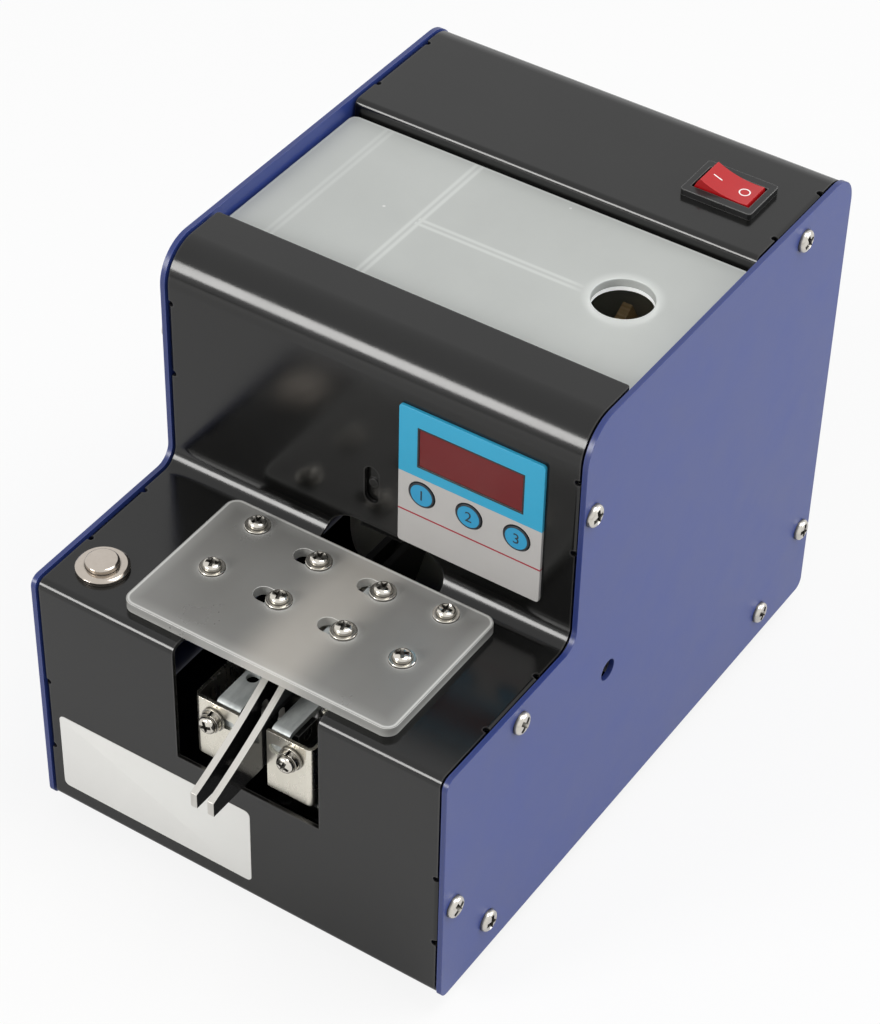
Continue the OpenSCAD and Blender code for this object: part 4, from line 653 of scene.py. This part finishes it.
def makeBanded(slot):
    look = {**bandPatches, **banded[slot]}
    material, tree, shader = startMaterial(slot, Metallic=look["metallic"])
    bands = wave(tree, look["along"], *look["bands"])
    coatAll(tree, shader, mixColour(tree, bands, look["first"], look["second"]), look, bands, coarseDepth)
    return material


# Circuit board: green mask over tracks
greenMask = {
    "tracks": {"Scale": 90.0, "Color1": (0.015, 0.1, 0.04, 1), "Color2": (0.02, 0.13, 0.05, 1),
               "Mortar": (0.03, 0.2, 0.08, 1), "Mortar Size": 0.03},
    "mottle": 0.08, "patch": 80.0, "grain": 1500.0, "rough": (0.3, 0.42), "bump": 0.05,
}


def makeBoard():
    material, tree, shader = startMaterial("circuit_board")
    cells = addNode(tree, "ShaderNodeTexBrick", {"Vector": objectPlace(tree), **greenMask["tracks"]}).outputs["Color"]
    coatAll(tree, shader, cells, greenMask)
    return material


finishes = {
    "rail_black": makeRailFinish(), "overlay_print": makeOverlayPrint(), "bakelite": makeBakelite(),
    "circuit_board": makeBoard(),
}
for looks, make in ((paints, makePaint), (plastics, makePlastic), (metals, makeMetal), (films, makeFilm),
                    (banded, makeBanded)):
    finishes.update({slot: make(slot) for slot in looks})
ownFinish = {
    **{node: makeFrosted(node) for node in frosted}, **{node: makeKeyPrint(node) for node in keyMarks},
    **{node: finishes["button_nickel"] for node in ("push_button", "button_cap")},
    **{node: finishes["hopper_paint"] for node in ("hopper_trough", "hopper_end_left", "hopper_end_right")},
}


def finishOf(node):
    return ownFinish.get(node) or finishes[slotOf[node]]


for name, node in nodes.items():
    node.data.materials.clear()
    node.data.materials.append(finishOf(name))
print("finishes made:", len(finishes) + len(ownFinish))


# Pieces. An edge is rounded from one angle on, and shaded smooth up to another, in degrees
sharpFrom, smoothUpTo, headSmoothUpTo, flatWithin = 32, 40, 34, 0.4
mergeGap = 0.002 * mm  # corners closer than this are one
ownGap, seamGap = 1e-5, 1e-4  # the same in mm, for a piece made at its own scale, and for a head on its shank
normalWeight = 60


def addPiece(name, mesh, material, body, replaced=()):
    piece = bpy.data.objects.new(name, mesh)
    bpy.context.scene.collection.objects.link(piece)
    mesh.materials.clear()
    mesh.materials.append(material)
    if body:
        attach(piece, body)
    if replaced:
        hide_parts(*replaced)
    return piece


def replaceNode(node, shape, body):
    name = camel(node)
    return addPiece(name, meshFrom(shape, name), finishOf(node), body, (node,))


def meshFrom(shape, name):
    mesh = bpy.data.meshes.new(name)
    shape.to_mesh(mesh)
    shape.free()
    return mesh


def smoothByAngle(shape, limit):
    for face in shape.faces:
        face.smooth = True
    for edge in shape.edges:
        edge.smooth = not (edge.is_manifold and edge.calc_face_angle(0) > math.radians(limit))


def weighNormals(piece):
    modifier = piece.modifiers.new("weighNormals", "WEIGHTED_NORMAL")
    modifier.keep_sharp = True
    modifier.weight = normalWeight


def mergedCopy(node):
    shape = bmesh.new()
    shape.from_mesh(nodes[node].data)
    bmesh.ops.remove_doubles(shape, verts=shape.verts, dist=mergeGap)
    bmesh.ops.dissolve_limit(shape, angle_limit=math.radians(flatWithin), verts=shape.verts, edges=shape.edges)
    return shape


def roundEdges(shape, width, segments):
    sharp = [e for e in shape.edges if e.is_manifold and e.calc_face_angle(0) > math.radians(sharpFrom)]
    bmesh.ops.bevel(shape, geom=sharp, offset=width * mm, offset_type="OFFSET", segments=segments, profile=0.5,
                    affect="EDGES", clamp_overlap=True, loop_slide=True, material=-1)


def camel(node):
    first, *rest = node.split("_")
    return first + "".join(word.capitalize() for word in rest)


# Edge rounding of each shown piece, in mm
edgeRounding = {
    "side_panel_left": 0.35, "side_panel_right": 0.35, "front_cover": 0.3, "rear_cover": 0.3,
    "base_plate": 0.25, "rubber_feet": 0.5, "hopper_lid": 0.4, "rail_cover": 0.45, "rail_left": 0.15,
    "rail_right": 0.15, "sensor_brackets": 0.2, "sensor_holders": 0.3, "bracket_posts": 0.2,
    "spring_washers": 0.08, "control_overlay": 0.12, "display_window": 0.1, "key_left": 0.15,
    "key_middle": 0.15, "key_right": 0.15, "push_button": 0.06, "button_cap": 0.14, "rocker_switch": 0.35,
    "rocker": 0.35, "power_inlet": 0.3, "height_gate": 0.15, "head_guide_left": 0.2,
    "head_guide_right": 0.2, "hopper_end_left": 0.2, "hopper_end_right": 0.2, "hopper_baffle": 0.2,
    "bearing_board": 0.25, "slope_board": 0.2, "side_tray": 0.2, "hopper_trough": 0.2,
}
# The button stands a little lower than its solids: share of their height over the deck
lowProfile = {"push_button": 0.74, "button_cap": 0.8}
deckTop = 86.6 * mm


def roundedCopy(node, width):
    shape = mergedCopy(node)
    for vert in shape.verts:
        if vert.co.z > deckTop:
            vert.co.z = deckTop + (vert.co.z - deckTop) * lowProfile.get(node, 1.0)
    roundEdges(shape, width, 3)
    smoothByAngle(shape, smoothUpTo)
    weighNormals(replaceNode(node, shape, nodes[node]["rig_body"]))


for node, width in edgeRounding.items():
    roundedCopy(node, width)
print("rounded pieces:", len(edgeRounding))

# Leaf springs of the vibrator, cut into even bands between their clamps
leafSprings = {"nodes": ("leaf_spring_front", "leaf_spring_rear"), "cuts": 12, "rounding": 0.12}


def makeLeafSpring(node):
    low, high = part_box("clamps_lower")[1].z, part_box("clamps_upper")[0].z
    shape = mergedCopy(node)
    roundEdges(shape, leafSprings["rounding"], 2)
    for cut in range(leafSprings["cuts"] + 1):
        bmesh.ops.bisect_plane(shape, geom=[*shape.verts, *shape.edges, *shape.faces], plane_no=(0, 0, 1),
                               plane_co=(0, 0, low + (high - low) * cut / leafSprings["cuts"]))
    smoothByAngle(shape, smoothUpTo)
    piece = replaceNode(node, shape, None)
    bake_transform(piece)


for node in leafSprings["nodes"]:
    makeLeafSpring(node)
print("leaf springs:", len(leafSprings["nodes"]))

# Screw heads in mm: crown and washer face, each as width and height, and the seat below the solid's top
screwHeads = {
    "pan": {"crown": (6.5, 1.8), "washer": (0.0, 0.0), "seat": 2.1},
    "smallPan": {"crown": (5.2, 1.8), "washer": (0.0, 0.0), "seat": 1.8},
    "washerFace": {"crown": (5.2, 1.7), "washer": (7.2, 0.6), "seat": 2.3},
}
# Shares of the crown's half width and height, from its foot to its top
crownCurve = ((1.0, 0.0), (1.0, 0.3), (0.975, 0.52), (0.91, 0.71),
              (0.79, 0.86), (0.6, 0.95), (0.34, 0.99), (0.0, 1.0))
crossRecess = {"long": 0.74, "wide": 0.2, "deep": 0.72, "taper": 0.45}  # shares of the crown
thread = {"radius": 1.5, "pitch": 0.5, "depth": 0.16}
washerEdge = 0.12
headSteps, shankSteps = 40, 24
headTurn = {"first": 17, "step": 53}  # degrees, so that no two recesses stand alike
# Direction of the heads, kind of head, shoulder under it as radius and length
screwSets = {
    "side_screws": {"axis": "x", "both": True, "head": "pan"},
    "bracket_screws": {"axis": "-y", "head": "smallPan"},
    "rail_cover_screws": {"axis": "z", "head": "washerFace"},
    "guide_screws_left": {"axis": "z", "head": "washerFace", "shoulder": (2.5, 3.5)},
    "guide_screws_right": {"axis": "z", "head": "washerFace", "shoulder": (2.5, 3.5)},
}


def spinProfile(shape, line, steps):
    ring = [shape.verts.new((r, 0, z)) for r, z in line]
    edges = [shape.edges.new(pair) for pair in zip(ring, ring[1:])]
    bmesh.ops.spin(shape, geom=ring + edges, cent=(0, 0, 0), axis=(0, 0, 1), angle=math.tau, steps=steps,
                   use_merge=True)


def cutCross(head, kind):
    (wide, tall), (_, thick) = screwHeads[kind]["crown"], screwHeads[kind]["washer"]
    long, across, deep = wide * crossRecess["long"], wide * crossRecess["wide"], tall * crossRecess["deep"]
    scratch = bpy.data.objects.new("headBlank", head)
    bpy.context.scene.collection.objects.link(scratch)
    cutters = []
    for turn in (0, 90):
        shape = bmesh.new()
        bmesh.ops.create_cube(shape, size=1)
        bmesh.ops.scale(shape, verts=shape.verts, vec=(long, across, 2 * deep))
        for vert in shape.verts:
            vert.co.x *= crossRecess["taper"] if vert.co.z < 0 else 2 - crossRecess["taper"]
        bmesh.ops.translate(shape, verts=shape.verts, vec=(0, 0, tall + thick))
        bmesh.ops.rotate(shape, verts=shape.verts, cent=(0, 0, 0), matrix=Matrix.Rotation(math.radians(turn), 3, "Z"))
        cutter = bpy.data.objects.new("crossCutter", meshFrom(shape, "crossCutter"))
        bpy.context.scene.collection.objects.link(cutter)
        modifier = scratch.modifiers.new("cut", "BOOLEAN")
        modifier.object, modifier.operation, modifier.solver = cutter, "DIFFERENCE", "EXACT"
        cutters.append(cutter)
    done = bpy.data.meshes.new_from_object(scratch.evaluated_get(bpy.context.evaluated_depsgraph_get()))
    for scrap in [scratch] + cutters:
        bpy.data.objects.remove(scrap)
    return done


def makeHead(kind):
    (wide, tall), (face, thick) = screwHeads[kind]["crown"], screwHeads[kind]["washer"]
    line = [(wide / 2 * r, thick + tall * z) for r, z in crownCurve]
    if thick:
        line = [(face / 2, 0), (face / 2, thick - washerEdge), (face / 2 - washerEdge, thick)] + line
    shape = bmesh.new()
    spinProfile(shape, line, headSteps)
    bmesh.ops.remove_doubles(shape, verts=shape.verts, dist=ownGap)
    rim = [e for e in shape.edges if e.is_boundary]
    bmesh.ops.contextual_create(shape, geom=rim)
    bmesh.ops.recalc_face_normals(shape, faces=shape.faces)
    return cutCross(meshFrom(shape, "headBlank"), kind)


def addShank(shape, length, shoulder):
    radius, pitch, depth = thread["radius"], thread["pitch"], thread["depth"]
    line = [(radius, 0.0)]
    if shoulder:
        line = [(shoulder[0], 0.0), (shoulder[0], -shoulder[1]), (radius, -shoulder[1])]
    start = line[-1][1]
    for i in range(max(2, int((length + start) / pitch))):
        line += [(radius - depth, start - (i + 0.75) * pitch), (radius, start - (i + 1.0) * pitch)]
    line += [(radius - depth, -length), (0.0, -length)]
    spinProfile(shape, [(r, max(z, -length)) for r, z in line], shankSteps)


def boxOf(points):
    return Vector(map(min, zip(*points))), Vector(map(max, zip(*points)))


def islands(node):
    shape = bmesh.new()
    shape.from_mesh(nodes[node].data)
    bmesh.ops.remove_doubles(shape, verts=shape.verts, dist=mergeGap)
    left, found = set(shape.verts), []
    while left:
        todo, seen = [left.pop()], []
        while todo:
            vert = todo.pop()
            seen.append(vert.co.copy())
            for edge in vert.link_edges:
                other = edge.other_vert(vert)
                if other in left:
                    left.remove(other)
                    todo.append(other)
        found.append(boxOf(seen))
    shape.free()
    return sorted(found, key=lambda b: tuple(b[0]))


turns = {"x": Matrix.Rotation(math.radians(90), 4, "Y"), "-x": Matrix.Rotation(math.radians(-90), 4, "Y"),
         "z": Matrix.Identity(4), "-y": Matrix.Rotation(math.radians(90), 4, "X")}
headMeshes = {kind: makeHead(kind) for kind in screwHeads}


def makeScrews(node):
    spec = screwSets[node]
    shape = bmesh.new()
    for count, (low, high) in enumerate(islands(node)):
        centre, size = (low + high) / 2, high - low
        axis = spec["axis"]
        if spec.get("both") and centre.x < 0:
            axis = "-x"
        along = "xyz".index(axis[-1])
        tall = screwHeads[spec["head"]]["seat"]
        seat = centre.copy()
        seat[along] = low[along] + tall * mm if axis.startswith("-") else high[along] - tall * mm
        one = bmesh.new()
        one.from_mesh(headMeshes[spec["head"]])
        addShank(one, size[along] / mm - tall, spec.get("shoulder"))
        bmesh.ops.remove_doubles(one, verts=one.verts, dist=seamGap)
        turn = Matrix.Rotation(math.radians(headTurn["first"] + headTurn["step"] * count), 4, "Z")
        place = Matrix.Translation(seat) @ turns[axis] @ turn @ Matrix.Scale(mm, 4)
        bmesh.ops.transform(one, matrix=place, verts=one.verts)
        bmesh.ops.recalc_face_normals(one, faces=one.faces)
        smoothByAngle(one, headSmoothUpTo)
        mesh = meshFrom(one, "oneScrew")
        shape.from_mesh(mesh)
        bpy.data.meshes.remove(mesh)
    replaceNode(node, shape, nodes[node]["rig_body"])


for node in screwSets:
    makeScrews(node)
print("screw sets:", len(screwSets))

# Bare label on the front of the cover, whose place along Y is the face
label = {"left": -59.4, "right": 4.0, "low": 13.0, "high": 39.6, "face": -88.05, "radius": 1.6, "thick": 0.12,
         "rounding": 0.04}
upright = turns["-y"]  # turns what lies flat to face the front


def newVerts(made):
    return [v for v in made["geom"] if isinstance(v, bmesh.types.BMVert)]


def makeLabel():
    wide, tall = label["right"] - label["left"], label["high"] - label["low"]
    shape = bmesh.new()
    bmesh.ops.create_grid(shape, x_segments=1, y_segments=1, size=0.5)
    bmesh.ops.scale(shape, verts=shape.verts, vec=(wide, tall, 1))
    bmesh.ops.bevel(shape, geom=list(shape.verts), offset=label["radius"], offset_type="OFFSET", segments=6,
                    profile=0.5, affect="VERTICES", material=-1)
    raised = newVerts(bmesh.ops.extrude_face_region(shape, geom=list(shape.faces)))
    bmesh.ops.translate(shape, verts=raised, vec=(0, 0, label["thick"]))
    bmesh.ops.recalc_face_normals(shape, faces=shape.faces)
    rim = [e for e in shape.edges if set(e.verts) <= set(raised)]
    bmesh.ops.bevel(shape, geom=rim, offset=label["rounding"], offset_type="OFFSET", segments=2, profile=0.5,
                    affect="EDGES", material=-1)
    centre = Vector(((label["left"] + label["right"]) / 2, label["face"], (label["low"] + label["high"]) / 2)) * mm
    place = Matrix.Translation(centre) @ upright @ Matrix.Scale(mm, 4)
    bmesh.ops.transform(shape, matrix=place, verts=shape.verts)
    smoothByAngle(shape, smoothUpTo)
    addPiece("frontLabel", meshFrom(shape, "frontLabel"), finishes["label_film"], "chassis")


makeLabel()

# Numerals on the keys
numeral = {"size": 4.6, "thick": 0.03}


def makeNumeral(node, mark):
    low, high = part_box(node)
    text = bpy.data.curves.new("numeral", "FONT")
    text.body, text.size = mark, numeral["size"]
    text.align_x, text.align_y = "CENTER", "CENTER"
    text.extrude = numeral["thick"]
    scratch = bpy.data.objects.new("numeral", text)
    bpy.context.scene.collection.objects.link(scratch)
    mesh = bpy.data.meshes.new_from_object(scratch.evaluated_get(bpy.context.evaluated_depsgraph_get()))
    bpy.data.objects.remove(scratch)
    shape = bmesh.new()
    shape.from_mesh(mesh)
    bmesh.ops.remove_doubles(shape, verts=shape.verts, dist=ownGap)
    first, last = boxOf([v.co for v in shape.verts])
    bmesh.ops.translate(shape, verts=shape.verts, vec=-(first + last) / 2)
    centre = Vector(((low.x + high.x) / 2, low.y, (low.z + high.z) / 2))
    place = Matrix.Translation(centre) @ upright @ Matrix.Scale(mm, 4)
    bmesh.ops.transform(shape, matrix=place, verts=shape.verts)
    addPiece(camel(node) + "Mark", meshFrom(shape, "keyMark"), finishes["numeral_ink"], nodes[node]["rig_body"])


for node, mark in keyMarks.items():
    makeNumeral(node, mark)

# On and off marks of the rocker, laid into its hollow face
rockerMarks = {"onAt": -3.6, "offAt": 4.56, "barLong": 2.6, "barWide": 0.36, "barSteps": 8, "ring": (1.6, 1.25),
               "ringSteps": 32, "lift": 0.03}


def layOn(shape, node, lift):
    skin = bmesh.new()
    skin.from_mesh(nodes[node].data)
    tree = BVHTree.FromBMesh(skin)
    for vert in shape.verts:
        hit = tree.ray_cast(Vector((vert.co.x, vert.co.y, 1.0)), Vector((0, 0, -1)))[0]
        vert.co.z += hit.z + lift * mm
    skin.free()


def makeRockerMarks():
    low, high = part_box("rocker")
    middle = (low + high) / 2
    shape = bmesh.new()
    look = rockerMarks
    bmesh.ops.create_grid(shape, x_segments=look["barSteps"], y_segments=1, size=0.5)
    bmesh.ops.scale(shape, verts=shape.verts, vec=(look["barLong"], look["barWide"], 1))
    bmesh.ops.translate(shape, verts=shape.verts, vec=(look["onAt"], 0, 0))
    rings = []
    for radius in look["ring"]:
        made = bmesh.ops.create_circle(shape, segments=look["ringSteps"], radius=radius)["verts"]
        bmesh.ops.translate(shape, verts=made, vec=(look["offAt"], 0, 0))
        rings += [e for e in shape.edges if set(e.verts) <= set(made)]
    bmesh.ops.bridge_loops(shape, edges=rings)
    sunk = newVerts(bmesh.ops.extrude_face_region(shape, geom=list(shape.faces)))
    bmesh.ops.translate(shape, verts=sunk, vec=(0, 0, -2 * look["lift"]))
    bmesh.ops.scale(shape, verts=shape.verts, vec=(mm, mm, mm))
    bmesh.ops.translate(shape, verts=shape.verts, vec=(middle.x, middle.y, 0))
    layOn(shape, "rocker", look["lift"])
    bmesh.ops.recalc_face_normals(shape, faces=shape.faces)
    smoothByAngle(shape, smoothUpTo)
    addPiece("rockerMarks", meshFrom(shape, "rockerMarks"), finishes["mark_ink"], "rocker")


makeRockerMarks()
print("label and marks made")

# Half its size in metres, its look, and the share of plain white in it: the rest is lit and keeps the shadow
paleFloor = {"half": 4, "colour": (0.66, 0.66, 0.66, 1), "rough": 0.7, "seen": 0.86, "mirrored": 0.15}
skyStrength = {"soft": 0.5, "white": 1.0}  # as a lamp, and as the background


def makeFloor():
    shape = bmesh.new()
    bmesh.ops.create_grid(shape, x_segments=1, y_segments=1, size=paleFloor["half"])
    floor = bpy.data.objects.new("floor", meshFrom(shape, "floor"))
    bpy.context.scene.collection.objects.link(floor)
    material, tree, shader = startMaterial("pale_floor", Base_Color=paleFloor["colour"],
                                           Roughness=paleFloor["rough"])
    path = addNode(tree, "ShaderNodeLightPath").outputs
    mirrored = most(tree, path["Is Glossy Ray"], path["Is Transmission Ray"])
    seen = most(tree, math2(tree, "MULTIPLY", path["Is Camera Ray"], paleFloor["seen"]),
                math2(tree, "MULTIPLY", mirrored, paleFloor["mirrored"]))
    glow = addNode(tree, "ShaderNodeEmission", {"Color": white, "Strength": 1.0}).outputs[0]
    blend = addNode(tree, "ShaderNodeMixShader", {0: seen, 1: shader.outputs[0], 2: glow})
    tree.links.new(blend.outputs[0], tree.nodes["Material Output"].inputs["Surface"])
    floor.data.materials.append(material)


def makeWorld():
    world = bpy.data.worlds.new("studio")
    bpy.context.scene.world = world
    world.use_nodes = True
    tree = world.node_tree
    path = addNode(tree, "ShaderNodeLightPath").outputs
    seen = most(tree, path["Is Camera Ray"], path["Is Glossy Ray"], path["Is Transmission Ray"])
    skies = [addNode(tree, "ShaderNodeBackground", {"Color": white, "Strength": skyStrength[key]}).outputs[0]
             for key in ("soft", "white")]
    blend = addNode(tree, "ShaderNodeMixShader", {0: seen, 1: skies[0], 2: skies[1]})
    tree.links.new(blend.outputs[0], tree.nodes["World Output"].inputs["Surface"])


makeCamera()
makeLamps()
makeFloor()
makeWorld()
bpy.context.scene.view_settings.view_transform = "Standard"
print("camera, lamps and floor set")
